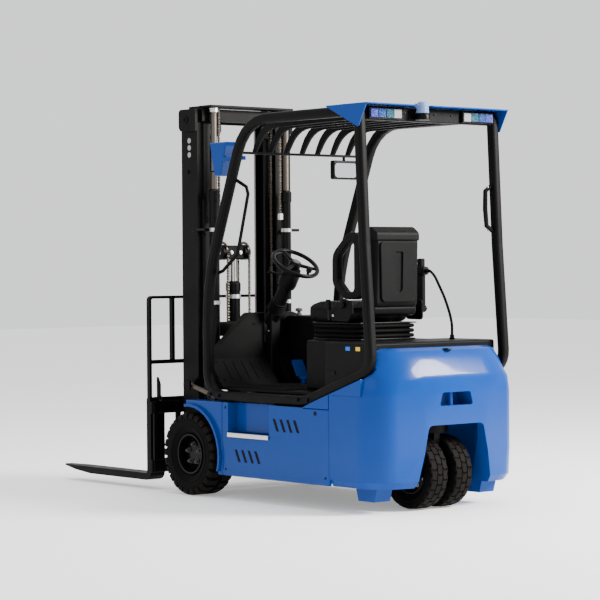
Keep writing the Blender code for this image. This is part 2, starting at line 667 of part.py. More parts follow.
def steering():
    """Column with its shroud, and the wheel turning on its top."""
    axis = column_axis()
    hub = at(0, *WHEEL_AT)
    top = hub - axis * 0.030
    low = hub - axis * 0.404
    tube = rod(low, top, 0.040, 12)
    shroud = rod(hub - axis * 0.150, hub - axis * 0.036, 0.046, 12)
    post = block((-0.034, 0.034), COLUMN_POST_Y, (FLOOR_TOP + FIT, 0.985), 0.006, 1)
    from_mesh("steering_column", joined(tube, [shroud, post]), PLASTIC)

    aim = axis.to_track_quat("Z", "Y").to_matrix().to_4x4()
    ring = []
    for k in range(6):
        a = 2 * math.pi * k / 6
        ring.append((0.130 + 0.012 * math.cos(a), 0.012 * math.sin(a)))
    rim = turned(ring, hub, aim, 24)
    boss = turned([(0, -0.024), (0.030, -0.024), (0.034, 0.002), (0.026, 0.012), (0, 0.014)], hub, aim, 12)
    spokes = []
    for a in (0, 120, 240):
        turn = Matrix.Rotation(math.radians(a + 90), 4, axis)
        reach = turn @ aim @ Vector((0.130, 0, -0.002))
        spokes.append(rod(hub - axis * 0.006, hub + reach, 0.009, 6))
    knob_at = hub + aim @ Vector((0.0, -0.118, 0.010))
    knob = rod(knob_at, knob_at + axis * 0.042, 0.016, 12)
    mesh = joined(rim, [boss] + spokes + [knob])
    from_mesh("steering_wheel", mesh, PLASTIC, origin=hub)


# ---------------------------------------------------------------- hood and seat
def hood():
    """The hinged deck over the battery, open below."""
    base = FLOOR_TOP + 0.004
    wide = block((-HOOD_HALF_W, HOOD_HALF_W), (HOOD_STEP, HOOD_REAR), (base, HOOD_TOP), 0.012, 2)
    neck = block((-HOOD_NECK_HALF_W, HOOD_NECK_HALF_W), (HOOD_FRONT, HOOD_STEP + 0.05), (base, HOOD_TOP), 0.012, 2)
    wall = HOOD_T
    room = block((-HOOD_HALF_W + wall, HOOD_HALF_W - wall), (HOOD_STEP + wall, HOOD_REAR - wall), (0.5, HOOD_TOP - wall))
    room_neck = block((-HOOD_NECK_HALF_W + wall, HOOD_NECK_HALF_W - wall), (HOOD_FRONT + wall, HOOD_STEP + 0.05),
                      (0.5, HOOD_TOP - wall))
    shell = cut(joined(wide, [neck]), [room, room_neck])
    from_mesh("battery_hood", shell, PLASTIC, origin=at(0, HOOD_REAR - 0.012, HOOD_TOP - 0.012))


def seat():
    """Suspension, cushion, back, side restraint and the control armrest."""
    base = HOOD_TOP + FIT
    bellows_top = 0.962
    bellows = block((-0.205, 0.205), (0.670, 1.075), (base, bellows_top), 0.012, 2)
    from_mesh("seat_suspension", bellows, RUBBER)
    pan = bellows_top + FIT
    cushion = block((-0.240, 0.240), (0.640, 1.016), (pan, 1.080), 0.030, 3)
    from_mesh("seat_cushion", cushion, VINYL)
    back = [(1.022, 1.010, 0.020), (1.072, 0.985, 0.030), (1.138, 1.060, 0.060), (1.150, 1.440, 0.030),
            (1.085, 1.478, 0.030), (1.052, 1.440, 0.030)]
    from_mesh("seat_back", slab("X", -0.156, 0.156, rounded(back, 3), soft=0.020), VINYL)

    def hip(side, word):
        outer = [(0.845, 1.160, 0.060), (0.945, 1.085, 0.040), (1.065, 1.085, 0.030), (1.065, 1.440, 0.040),
                 (0.975, 1.440, 0.060), (0.845, 1.330, 0.080)]
        hole = [(0.887, 1.190, 0.040), (0.955, 1.125, 0.030), (1.020, 1.125, 0.020), (1.020, 1.390, 0.020),
                (0.980, 1.390, 0.040), (0.887, 1.310, 0.050)]
        low, high = span(side, 0.160, 0.204)
        from_mesh(f"seat_side_loop_{word}", slab("X", low, high, rounded(outer, 2), rounded(hole, 2)), VINYL)

    hip(1, "left")
    arm = block((-0.300, -0.250), (0.790, 1.070), (1.210, 1.256), 0.012, 2)
    stay = block((-0.290, -0.262), (0.985, 1.050), (1.010, 1.225), 0.004, 1)
    root = block((-0.289, -0.242), (0.965, 1.008), (1.012, 1.058), 0.0)
    lever = block((-0.294, -0.262), (1.010, 1.042), (1.246, 1.300), 0.006, 2)
    from_mesh("control_armrest", joined(arm, [stay, root, lever]), PLASTIC)


CABLE_R = 0.0075


def cable():
    """The armrest's cable, arching back and down into the hood deck."""
    start = at(-0.275, 1.070, 1.232)
    middle = [start + Vector((0, 0.0004, 0)), at(-0.275, 1.098, 1.232), at(-0.276, 1.135, 1.203),
              at(-0.279, 1.168, 1.150), at(-0.284, 1.195, 1.100), at(-0.290, 1.217, 1.045),
              at(-0.296, 1.233, 0.990), at(-0.300, 1.240, 0.945), at(-0.301, 1.240, 0.910),
              at(-0.301, 1.240, 0.885), at(-0.301, 1.240, HOOD_TOP + 0.0004)]
    points = middle[:1] + smooth(middle[1:-1], 2) + middle[-1:]
    from_mesh("control_cable", pipe(points, CABLE_R, 8), RUBBER)


def smooth(points, steps):
    """Return points on a Catmull-Rom curve through the given points."""
    padded = [points[0] * 2 - points[1]] + points + [points[-1] * 2 - points[-2]]
    result = []
    for a, b, c, d in zip(padded, padded[1:], padded[2:], padded[3:]):
        for k in range(steps):
            t = k / steps
            result.append(0.5 * (2 * b + (c - a) * t + (2 * a - 5 * b + 4 * c - d) * t * t
                                 + (3 * b - a - 3 * c + d) * t ** 3))
    result.append(points[-1])
    return result


# ---------------------------------------------------------------- wheels
def tyre_profile(outer, bore, width):
    """Closed (radius, across) profile of a solid tyre, centred across."""
    half = width / 2
    return [(bore, -half + 0.014), (outer - 0.045, -half), (outer - 0.014, -half + 0.006), (outer, -half + 0.030),
            (outer, half - 0.030), (outer - 0.014, half - 0.006), (outer - 0.045, half), (bore, half - 0.014)]


def front_wheel(side, word):
    """Tyre and dished rim of one front wheel."""
    middle = FRONT_TRACK_OUT - FRONT_TYRE_W / 2
    centre = at(side * middle, 0, FRONT_TYRE_R)
    tyre = turned(tyre_profile(FRONT_TYRE_R, RIM_R + TYRE_FIT, FRONT_TYRE_W), centre, "X", 24)
    from_mesh(f"front_tyre_{word}", tyre, RUBBER, origin=centre)
    half = FRONT_TYRE_W / 2 - 0.014
    disc = 0.012
    seat_in = FRONT_TRACK_OUT - FRONT_TYRE_W + 0.062 - middle
    rim = [(0, seat_in), (0.060, seat_in), (0.060, -0.006), (RIM_R - 0.012, -0.006), (RIM_R - 0.012, -half),
           (RIM_R, -half), (RIM_R, half), (RIM_R - 0.010, half), (RIM_R - 0.014, disc), (0.075, disc),
           (0.060, disc + 0.022), (0.030, disc + 0.026), (0, disc + 0.026)]
    profile = [(r, side * h) for r, h in rim]
    from_mesh(f"front_rim_{word}", turned(profile, centre, "X", 24), BLACK, origin=centre)


def rear_wheels():
    """Steering head, and the twin wheels on their common shaft."""
    hub = at(0, WHEELBASE, REAR_TYRE_R)
    gap = REAR_TYRE_GAP / 2
    leg_half = gap - RUN_GAP - 0.003
    head_low = REAR_TYRE_R * 2 + 0.014
    head = rod(at(0, WHEELBASE, head_low), at(0, WHEELBASE, BAY_TOP - 0.005), 0.105, 24)
    leg = slab("X", -leg_half, leg_half, rounded([(WHEELBASE - 0.045, REAR_TYRE_R - 0.045, 0.042),
                                                  (WHEELBASE + 0.045, REAR_TYRE_R - 0.045, 0.042),
                                                  (WHEELBASE + 0.075, head_low + 0.004, 0),
                                                  (WHEELBASE - 0.075, head_low + 0.004, 0)]))
    bore = rod(at(-0.05, WHEELBASE, REAR_TYRE_R), at(0.05, WHEELBASE, REAR_TYRE_R), 0.0206, 20)
    from_mesh("steer_head", cut(joined(head, [leg]), [bore]), BLACK, origin=at(0, WHEELBASE, head_low))
    middle = gap + REAR_TYRE_W / 2
    for side, word in ((1, "left"), (-1, "right")):
        centre = at(side * middle, WHEELBASE, REAR_TYRE_R)
        tyre = turned(tyre_profile(REAR_TYRE_R, RIM_R + TYRE_FIT, REAR_TYRE_W), centre, "X", 24)
        from_mesh(f"rear_tyre_{word}", tyre, RUBBER, origin=centre)
    near = gap + 0.014
    far = gap + REAR_TYRE_W - 0.014
    web = near + 0.030
    half = [(0.020, 0.0), (0.020, web - 0.010), (RIM_R - 0.010, web - 0.010), (RIM_R - 0.010, near), (RIM_R, near),
            (RIM_R, far), (RIM_R - 0.008, far), (RIM_R - 0.011, web), (0.040, web), (0.040, web + 0.018),
            (0, web + 0.018)]
    profile = half[::-1] + [(r, -h) for r, h in half[1:]]
    from_mesh("rear_rims", turned(profile, hub, "X", 24), BLACK, origin=hub)


# ---------------------------------------------------------------- mast
def channel(side, outside, front, back, low, high, web=0.012, flange=0.016):
    """Return a C rail with its web outside, from low to high."""
    inside = outside - RAIL_W
    outline = [(outside, front), (outside, back), (inside, back), (inside, back - flange), (outside - web, back - flange),
               (outside - web, front + flange), (inside, front + flange), (inside, front)]
    return slab("Z", low, high, [(side * x, y) for x, y in outline])


LIFT_X = 0.262            # lift cylinders, from the centre
LIFT_Y = -0.096
LIFT_R = 0.028
LIFT_ROD_R = 0.017
LIFT_TOP = MAST_H - 0.472 # top of the barrel


def outer_mast():
    """Outer rails, their crosshead, lower ties, tilt lugs and the pivot pins."""
    pivot = at(0, PIVOT_Y, PIVOT_Z)
    rails = [channel(side, OUTER_X, MAST_FRONT, OUTER_REAR, MAST_FOOT_Z, OUTER_TOP) for side in (1, -1)]
    back = OUTER_REAR + 0.024
    parts = [
        block((-0.320, 0.320), (OUTER_REAR - 0.002, back), (OUTER_TOP - 0.068, OUTER_TOP + 0.002)),
        block((-0.320, 0.320), (OUTER_REAR - 0.002, back), (0.360, 0.440)),
        block((-0.320, 0.320), (OUTER_REAR - 0.002, back), (0.112, 0.180)),
        block((-0.320, 0.320), (OUTER_REAR - 0.002, back), (0.870, 0.940)),
    ]
    for side in (1, -1):
        cap_z = (OUTER_TOP - 0.122, OUTER_TOP + 0.002)
        cap = rounded([(MAST_FRONT - 0.006, cap_z[0], 0.030), (OUTER_REAR + 0.004, cap_z[0], 0),
                       (OUTER_REAR + 0.004, cap_z[1], 0), (MAST_FRONT - 0.006, cap_z[1], 0.020)])
        parts.append(slab("X", *span(side, OUTER_X - 0.002, OUTER_X + 0.016), cap))
        for x in (0.276, 0.328):
            plate = rounded([(OUTER_REAR - 0.004, 0.150, 0), (PIVOT_Y + 0.036, 0.185, 0.034),
                             (PIVOT_Y + 0.036, 0.275, 0.034), (OUTER_REAR - 0.004, 0.330, 0)])
            parts.append(slab("X", *span(side, x, x + 0.012), plate))
        parts.append(rod(at(side * 0.272, PIVOT_Y, PIVOT_Z), at(side * 0.346, PIVOT_Y, PIVOT_Z), PIN_R, 12))
        lug = rounded([(TILT_EYE[0] - 0.026, 0.560, 0.024), (OUTER_REAR - 0.006, 0.575, 0.004),
                       (OUTER_REAR - 0.006, 0.625, 0.004), (TILT_EYE[0] - 0.026, 0.640, 0.024)])
        parts.append(slab("X", *span(side, OUTER_X - 0.002, TILT_X - 0.018), lug))
        parts.append(slab("X", *span(side, TILT_X + 0.018, TILT_X + 0.028), lug))
        parts.append(rod(at(side * (TILT_X - 0.022), *TILT_EYE), at(side * (TILT_X + 0.026), *TILT_EYE), 0.0110, 10))
        foot = block(span(side, LIFT_X - 0.034, LIFT_X + 0.034), (OUTER_REAR - 0.002, LIFT_Y + 0.030), (0.345, 0.362))
        parts.append(foot)
    mesh = joined(rails[0], [rails[1]] + parts)
    from_mesh("outer_mast", mesh, BLACK, origin=pivot)

    def barrel(side, word):
        low = 0.362 + FIT
        bore = LIFT_ROD_R + 0.001
        length = LIFT_TOP - low
        profile = [(0, 0), (LIFT_R, 0), (LIFT_R, length), (bore, length), (bore, 0.020), (0, 0.020)]
        mesh = turned(profile, at(side * LIFT_X, LIFT_Y, low), "Z", 14)
        from_mesh(f"lift_barrel_{word}", mesh, BLACK)

    both_sides(barrel)


def middle_mast():
    """Middle rails and the head plate, carried by the rods of the lift cylinders."""
    head_z = (MAST_H - 0.014, MAST_H)
    rails = [channel(side, MIDDLE_X, MAST_FRONT, MIDDLE_REAR, 0.110, MAST_H) for side in (1, -1)]
    back = MIDDLE_REAR + 0.004
    front = back - 0.026
    parts = [
        block((-INNER_X, INNER_X), (front, back), (0.130, 0.220)),
        block((-INNER_X - 0.004, INNER_X + 0.004), (front, back), (0.880, 0.950)),
        block((-0.300, 0.300), (front, LIFT_Y + 0.026), head_z, 0.002, 1),
    ]
    for tie in ((0.130, 0.220), (0.880, 0.950)):
        parts.append(block((-MIDDLE_X + 0.004, MIDDLE_X - 0.004), (MIDDLE_REAR - 0.014, back), tie))
    for side in (1, -1):
        parts.append(rod(at(side * LIFT_X, LIFT_Y, 0.395), at(side * LIFT_X, LIFT_Y, head_z[0] + 0.004), LIFT_ROD_R, 10))
    from_mesh("middle_mast", joined(rails[0], [rails[1]] + parts), BLACK)


FREE_Y = -0.262
FREE_R = 0.040
FREE_TOP = 1.180          # top of the free-lift barrel
SHEAVE_R = 0.044
SHEAVE_X = 0.078
CROSSHEAD_Z = 1.345       # height of the sheaves


def inner_mast():
    """Inner rails, the free-lift barrel and its crosshead with two sheaves."""
    rails = [channel(side, INNER_X, MAST_FRONT, INNER_REAR, 0.110, INNER_TOP) for side in (1, -1)]
    back = INNER_REAR + 0.002
    front = back - 0.020
    half = INNER_X - 0.004
    parts = [
        block((-half, half), (front, back), (0.130, 0.210)),
        block((-half, half), (front, back), (INNER_TOP - 0.075, INNER_TOP - 0.005)),
        block((-half, half), (front, back), (0.700, 0.760)),
        block((-0.060, 0.060), (FREE_Y - 0.040, back), (0.130, 0.150)),
    ]
    from_mesh("inner_mast", joined(rails[0], [rails[1]] + parts), BLACK)
    low = 0.150 + FIT
    length = FREE_TOP - low
    bore = 0.0255
    profile = [(0, 0), (FREE_R, 0), (FREE_R, length), (bore, length), (bore, 0.020), (0, 0.020)]
    from_mesh("free_lift_barrel", turned(profile, at(0, FREE_Y, low), "Z", 14), BLACK)

    shaft = rod(at(0, FREE_Y, 0.205), at(0, FREE_Y, CROSSHEAD_Z), 0.0245, 12)
    beam = block((-SHEAVE_X + 0.018, SHEAVE_X - 0.018), (FREE_Y - 0.030, FREE_Y + 0.030),
                 (CROSSHEAD_Z - 0.040, CROSSHEAD_Z + 0.040), 0.006, 1)
    sheaves = []
    for side in (1, -1):
        x = side * SHEAVE_X
        profile = [(0, -0.020), (SHEAVE_R, -0.020), (SHEAVE_R, 0.020), (0, 0.020)]
        sheaves.append(turned(profile, at(x, FREE_Y, CROSSHEAD_Z), "X", 18))
    from_mesh("free_lift_crosshead", joined(shaft, [beam] + sheaves), BLACK)


CARRIAGE_HALF = 0.497
REST_HALF = 0.505         # outside of the load backrest
FORK_X = 0.430            # middle of a fork
BAR_FRONT = -0.418
BAR_BACK = -0.384
BAR_TOP_Z = (0.432, 0.504)
BAR_LOW_Z = (0.098, 0.170)


def carriage():
    """Fork carriage on the inner mast, the load backrest and the forks."""
    upper = block((-CARRIAGE_HALF, CARRIAGE_HALF), (BAR_FRONT, BAR_BACK), BAR_TOP_Z, 0.004, 1)
    lower = block((-CARRIAGE_HALF, CARRIAGE_HALF), (BAR_FRONT, BAR_BACK), BAR_LOW_Z, 0.004, 1)
    parts = [lower]
    for side in (1, -1):
        parts.append(block(span(side, 0.140, 0.156), (BAR_BACK - 0.004, -0.250), (0.110, 0.560), 0.003, 1))
        parts.append(block(span(side, 0.300, 0.330), (BAR_BACK - 0.004, BAR_BACK + 0.012), (0.110, 0.500)))
        parts.append(block(span(side, CARRIAGE_HALF - 0.030, CARRIAGE_HALF - 0.010), (BAR_BACK - 0.004, BAR_BACK + 0.010),
                           (0.110, 0.500)))
        for z in (0.180, 0.500):
            parts.append(rod(at(side * 0.152, FREE_Y - 0.006, z), at(side * (CLEAR_X - 0.003), FREE_Y - 0.006, z), 0.034, 14))
        parts.append(block(span(side, SHEAVE_X - 0.014, 0.145), (BAR_BACK - 0.004, FREE_Y - SHEAVE_R + 0.004), (0.190, 0.215)))
    from_mesh("fork_carriage", joined(upper, parts), BLACK)

    rest_top = 1.100
    low = BAR_TOP_Z[1] + FIT
    post_w = 0.016
    frame = rounded([(REST_HALF, low, 0), (REST_HALF, rest_top, 0.024), (-REST_HALF, rest_top, 0.024),
                     (-REST_HALF, low, 0)])
    hole = rounded([(REST_HALF - post_w, low + 0.020, 0), (REST_HALF - post_w, rest_top - post_w, 0.010),
                    (-REST_HALF + post_w, rest_top - post_w, 0.010), (-REST_HALF + post_w, low + 0.020, 0)])
    back = BAR_FRONT + 0.028
    rest = slab("Y", BAR_FRONT, back, frame, hole)
    parts = [block((-REST_HALF + 0.004, REST_HALF - 0.004), (BAR_FRONT, back), (0.714, 0.736))]
    for x in (0.335, 0.112, -0.112, -0.335):
        parts.append(block((x - 0.010, x + 0.010), (BAR_FRONT, back), (0.726, rest_top - 0.004)))
    from_mesh("load_backrest", joined(rest, parts), BLACK)

    def fork(side, word):
        heel = 0.050
        blade_t = 0.040
        back_y = BAR_FRONT - FIT
        front_y = LOAD_FACE
        shank_top = BAR_TOP_Z[1] - 0.004
        hook = 0.016
        outline = rounded([
            (FORK_TIP, heel + blade_t - 0.010, 0), (FORK_TIP + 0.300, heel, 0), (back_y, heel, 0.050),
            (back_y, shank_top + hook, 0.006), (front_y, shank_top + hook, 0.006), (front_y, heel + blade_t, 0.012),
            (FORK_TIP, heel + blade_t, 0),
        ], 3)
        low_x, high_x = span(side, FORK_X - 0.050, FORK_X + 0.050)
        mesh = slab("X", low_x, high_x, outline)
        tapers = []
        for edge, way in ((low_x, 1), (high_x, -1)):
            corner = [(edge - way * 0.010, FORK_TIP - 0.010), (edge + way * 0.030, FORK_TIP - 0.010),
                      (edge - way * 0.002, FORK_TIP + 0.160), (edge - way * 0.010, FORK_TIP + 0.160)]
            tapers.append(slab("Z", 0.0, 0.15, corner))
        mesh = cut(mesh, tapers)
        from_mesh(f"fork_{word}", mesh, BLACK)

    both_sides(fork)


def tilt_cylinder(side, word):
    """Barrel hinged on the frame and rod reaching to the mast."""
    base = at(side * TILT_X, *TILT_BASE)
    eye = at(side * TILT_X, *TILT_EYE)
    along = (eye - base).normalized()
    half = 0.016
    bore_r = 0.0125
    body = rod(base + along * 0.032, base + along * 0.430, 0.030, 12)
    neck = rod(base + along * 0.008, base + along * 0.040, 0.0155, 12)
    lug = rod(base - Vector((half, 0, 0)), base + Vector((half, 0, 0)), 0.024, 12)
    hole = rod(base - Vector((0.05, 0, 0)), base + Vector((0.05, 0, 0)), bore_r, 10)
    core = rod(base + along * 0.060, base + along * 0.50, 0.0148, 10)
    from_mesh(f"tilt_barrel_{word}", cut(joined(body, [neck, lug]), [hole, core]), BLACK, origin=base)

    shaft = rod(base + along * 0.120, eye - along * 0.010, 0.0140, 10)
    ring = rod(eye - Vector((half, 0, 0)), eye + Vector((half, 0, 0)), 0.023, 12)
    hole = rod(eye - Vector((0.05, 0, 0)), eye + Vector((0.05, 0, 0)), bore_r, 10)
    from_mesh(f"tilt_rod_{word}", cut(joined(shaft, [ring]), [hole]), STEEL, origin=eye)


def shade():
    """Smooth the round pieces, keeping edges sharper than 30 degrees."""
    for obj in collection("forklift").objects:
        for face in obj.data.polygons:
            face.use_smooth = True
        obj.data.set_sharp_from_angle(angle=math.radians(30))


def main():
    """Build every piece of the truck."""
    for obj in list(bpy.data.objects):
        bpy.data.objects.remove(obj)
    cutters = collection("cutters")
    cutters.hide_render = True
    chassis()
    axle()
    both_sides(side_bodywork)
    counterweight()
    floor_and_cowl()
    steering()
    both_sides(guard_loop)
    roof()
    visor()
    roof_fittings()
    grips()
    hood()
    seat()
    cable()
    both_sides(front_wheel)
    rear_wheels()
    outer_mast()
    middle_mast()
    inner_mast()
    carriage()
    both_sides(tilt_cylinder)
    shade()


main()
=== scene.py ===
"""Looks of a three-wheel electric counterbalance forklift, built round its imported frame.

Metres, +Z up.  The forks point along -Y and the driver's left is +X.  Lengths along
the truck are measured from the front axle, front negative, and placed with at().
"""

import json
import logging
import math
from dataclasses import dataclass, field
from enum import Enum
from typing import Iterable, Optional, Sequence, Union

import bpy
from mathutils import Matrix, Vector
from mathutils.bvhtree import BVHTree

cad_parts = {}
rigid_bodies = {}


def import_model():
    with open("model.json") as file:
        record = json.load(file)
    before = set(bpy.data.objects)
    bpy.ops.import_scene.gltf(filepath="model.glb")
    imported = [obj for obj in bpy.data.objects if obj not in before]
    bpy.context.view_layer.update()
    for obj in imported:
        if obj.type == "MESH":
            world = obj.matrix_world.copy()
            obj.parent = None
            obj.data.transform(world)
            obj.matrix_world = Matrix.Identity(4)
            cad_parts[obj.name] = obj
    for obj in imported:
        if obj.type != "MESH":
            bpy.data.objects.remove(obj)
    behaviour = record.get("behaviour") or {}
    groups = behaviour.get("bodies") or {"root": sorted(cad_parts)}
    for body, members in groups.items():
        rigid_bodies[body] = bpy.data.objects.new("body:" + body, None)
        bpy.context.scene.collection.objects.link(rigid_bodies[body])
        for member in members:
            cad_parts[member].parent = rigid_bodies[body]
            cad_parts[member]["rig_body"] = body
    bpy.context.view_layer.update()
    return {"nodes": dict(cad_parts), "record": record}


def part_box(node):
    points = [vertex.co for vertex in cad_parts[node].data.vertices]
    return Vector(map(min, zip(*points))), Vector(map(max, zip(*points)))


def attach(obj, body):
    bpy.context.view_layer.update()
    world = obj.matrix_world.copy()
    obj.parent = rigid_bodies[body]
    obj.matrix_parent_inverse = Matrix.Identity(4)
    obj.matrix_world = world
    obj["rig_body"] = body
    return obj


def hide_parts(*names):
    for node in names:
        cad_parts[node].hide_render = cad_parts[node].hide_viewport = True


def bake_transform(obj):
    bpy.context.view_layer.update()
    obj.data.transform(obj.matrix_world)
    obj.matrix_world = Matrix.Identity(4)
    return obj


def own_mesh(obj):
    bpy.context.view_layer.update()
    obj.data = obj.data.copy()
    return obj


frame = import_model()
LOG = logging.getLogger("forklift")

Point = Sequence[float]
Pair = tuple[float, float]
Link = Union["Val", float, Point, bpy.types.NodeSocket]

TYRE_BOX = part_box("front_tyre_left")
AXLE_Y = (TYRE_BOX[0].y + TYRE_BOX[1].y) / 2
SIDES = ((1, "left"), (-1, "right"))


def at(x: float, y: float, z: float) -> Vector:
    """Return a world point whose y is measured from the front axle."""
    return Vector((x, AXLE_Y + y, z))


# ------------------------------------------------------------------ shader maths
class Val:
    """A number socket that takes part in Python expressions."""

    def __init__(self, graph: "Graph", socket: bpy.types.NodeSocket) -> None:
        """Wrap one output socket of a graph."""
        self.graph = graph
        self.socket = socket

    def _math(self, operation: str, *values: Link) -> "Val":
        """Add one Math node.

        Args:
            operation: The Math node's operation.
            values: Its inputs in order.

        Returns:
            The node's result.
        """
        inputs = {i: value for i, value in enumerate(values)}
        node = self.graph.node("ShaderNodeMath", {"operation": operation}, inputs)
        return Val(self.graph, node.outputs[0])

    def __add__(self, other: Link) -> "Val":
        """Add."""
        return self._math("ADD", self, other)

    __radd__ = __add__

    def __sub__(self, other: Link) -> "Val":
        """Subtract."""
        return self._math("SUBTRACT", self, other)

    def __rsub__(self, other: Link) -> "Val":
        """Subtract from a number."""
        return self._math("SUBTRACT", other, self)

    def __mul__(self, other: Link) -> "Val":
        """Multiply."""
        return self._math("MULTIPLY", self, other)

    __rmul__ = __mul__

    def step(self, low: float, high: float) -> "Val":
        """Return 0 below low and 1 above high, rising smoothly between."""
        settings = {"interpolation_type": "SMOOTHSTEP"}
        node = self.graph.node("ShaderNodeMapRange", settings, {0: self, 1: low, 2: high})
        return Val(self.graph, node.outputs[0])

    def wave(self) -> "Val":
        """Return the sine."""
        return self._math("SINE", self)

    def size(self) -> "Val":
        """Return the absolute value."""
        return self._math("ABSOLUTE", self)

    def lower(self, other: Link) -> "Val":
        """Return the smaller of two."""
        return self._math("MINIMUM", self, other)


class Graph:
    """One material's node tree."""

    def __init__(self, name: str) -> None:
        """Start a material with a bare Principled shader."""
        self.material = bpy.data.materials.new(name)
        self.material.use_nodes = True
        self.tree = self.material.node_tree
        self.shader = self.tree.nodes["Principled BSDF"]
        place = self.node("ShaderNodeTexCoord", {}, {})
        self.place = place.outputs["Object"]

    def node(self, kind: str, settings: dict[str, object], inputs: dict[object, Link]) -> bpy.types.Node:
        """Add a node.

        Args:
            kind: The node's type.
            settings: Its properties, set before the inputs.
            inputs: Values or links by socket name or number.

        Returns:
            The new node.
        """
        made = self.tree.nodes.new(kind)
        for key, value in settings.items():
            setattr(made, key, value)
        for key, value in inputs.items():
            self.feed(made.inputs[key], value)
        return made

    def feed(self, socket: bpy.types.NodeSocket, value: Link) -> None:
        """Link or set one input socket."""
        if isinstance(value, Val):
            self.tree.links.new(value.socket, socket)
        elif isinstance(value, bpy.types.NodeSocket):
            self.tree.links.new(value, socket)
        else:
            socket.default_value = value

    def set(self, **inputs: Link) -> None:
        """Feed the shader's sockets, named with underscores for spaces."""
        for key, value in inputs.items():
            self.feed(self.shader.inputs[key.replace("_", " ")], value)

    def noise(self, scale: float, detail: float = 3.0, stretch: Optional[Point] = None) -> Val:
        """Return a noise pattern on the piece.

        Args:
            scale: Cells per metre.
            detail: Number of octaves.
            stretch: Scale along each axis, for brushed or streaked looks.

        Returns:
            A value near 0.5.
        """
        where: Link = self.place
        if stretch is not None:
            where = self.node("ShaderNodeMapping", {}, {"Vector": self.place, "Scale": stretch}).outputs[0]
        made = self.node("ShaderNodeTexNoise", {}, {"Vector": where, "Scale": scale, "Detail": detail})
        return Val(self, made.outputs["Fac"])

    def cells(self, scale: float) -> Val:
        """Return the distance to the nearest of scattered cell centres."""
        made = self.node("ShaderNodeTexVoronoi", {}, {"Vector": self.place, "Scale": scale})
        return Val(self, made.outputs["Distance"])

    def axis(self, name: str) -> Val:
        """Return one coordinate of the place on the piece."""
        made = self.node("ShaderNodeSeparateXYZ", {}, {0: self.place})
        return Val(self, made.outputs[name])

    def facing_up(self) -> Val:
        """Return how far the surface faces upwards."""
        normal = self.node("ShaderNodeNewGeometry", {}, {}).outputs["Normal"]
        made = self.node("ShaderNodeSeparateXYZ", {}, {0: normal})
        return Val(self, made.outputs["Z"])

    def mix(self, mask: Link, base: Link, over: Link) -> bpy.types.NodeSocket:
        """Mix two colours by a mask.

        Args:
            mask: 0 gives base and 1 gives over.
            base: A colour or colour socket.
            over: A colour or colour socket.

        Returns:
            The mixed colour's socket.
        """
        settings = {"data_type": "RGBA", "clamp_factor": True}
        made = self.node("ShaderNodeMix", settings, {0: mask, 6: base, 7: over})
        return made.outputs[2]

    def bump(self, height: Val, distance: float, strength: float = 1.0) -> None:
        """Feed the shader's normal with a bump of that height in metres."""
        made = self.node("ShaderNodeBump", {}, {"Height": height, "Distance": distance, "Strength": strength})
        self.set(Normal=made.outputs[0])


def rgb(red: float, green: float, blue: float) -> tuple[float, float, float, float]:
    """Return an opaque linear colour."""
    return (red, green, blue, 1.0)


# ------------------------------------------------------------------ finishes
@dataclass(frozen=True)
class Paint:
    """Sprayed enamel with orange peel, faint dust and a slight drift of tone."""

    name: str
    slot: str
    colour: tuple[float, float, float, float]
    shade: tuple[float, float, float, float]
    dust: tuple[float, float, float, float]
    roughness: float
    coat: float
    peel: float
    grain: float
    dust_share: float
    shine: float = 0.5

    def build(self) -> bpy.types.Material:
        """Return the node material."""
        graph = Graph(self.name)
        drift = graph.noise(2.3, 4.0).step(0.35, 0.70)
        speck = graph.noise(self.grain, 2.0)
        tone = graph.mix(drift, self.colour, self.shade)
        settle = graph.facing_up().step(0.30, 0.95) * graph.noise(9.0, 6.0).step(0.42, 0.75)
        low = 1.0 - graph.axis("Z").step(0.05, 0.45)
        dusty = (settle + low * 0.5 * graph.noise(28.0, 5.0).step(0.40, 0.70)) * self.dust_share
        graph.set(Base_Color=graph.mix(dusty, tone, self.dust))
        smear = graph.noise(14.0, 5.0, (1.0, 1.0, 0.35)).step(0.30, 0.75)
        graph.set(Roughness=self.roughness + smear * 0.07 + dusty * 0.5)
        graph.set(Coat_Weight=self.coat, Coat_Roughness=0.06, Specular_IOR_Level=self.shine)
        graph.bump(speck, self.peel)
        return graph.material


@dataclass(frozen=True)
class Moulding:
    """Moulded plastic or vinyl with a pebbled grain."""

    name: str
    slot: str
    colour: tuple[float, float, float, float]
    rubbed: tuple[float, float, float, float]
    roughness: float
    pebble: float
    depth: float

    def build(self) -> bpy.types.Material:
        """Return the node material."""
        graph = Graph(self.name)
        cloud = graph.noise(6.0, 5.0).step(0.38, 0.72)
        handled = graph.noise(45.0, 4.0).step(0.50, 0.80) * 0.35
        graph.set(Base_Color=graph.mix(cloud * 0.5 + handled, self.colour, self.rubbed))
        graph.set(Roughness=self.roughness - handled * 0.25 + cloud * 0.06)
        grain = graph.cells(self.pebble).step(0.10, 0.65) + graph.noise(self.pebble * 1.7, 2.0) * 0.4
        graph.set(Specular_IOR_Level=0.07)
        graph.bump(grain, self.depth)
        return graph.material


@dataclass(frozen=True)
class Rubber:
    """Tyre or mat rubber, greyed by floor dust."""

    name: str
    slot: str
    colour: tuple[float, float, float, float]
    dust: tuple[float, float, float, float]
    dust_share: float

    def build(self) -> bpy.types.Material:
        """Return the node material."""
        graph = Graph(self.name)
        film = graph.noise(26.0, 7.0).step(0.30, 0.72)
        fine = graph.noise(240.0, 4.0).step(0.40, 0.70)
        dusty = (film * 0.7 + fine * 0.3) * self.dust_share
        graph.set(Base_Color=graph.mix(dusty, self.colour, self.dust))
        graph.set(Roughness=0.62 + dusty * 0.30, Specular_IOR_Level=0.05)
        graph.bump(graph.noise(420.0, 4.0) + graph.noise(60.0, 3.0) * 0.6, 0.0006)
        return graph.material


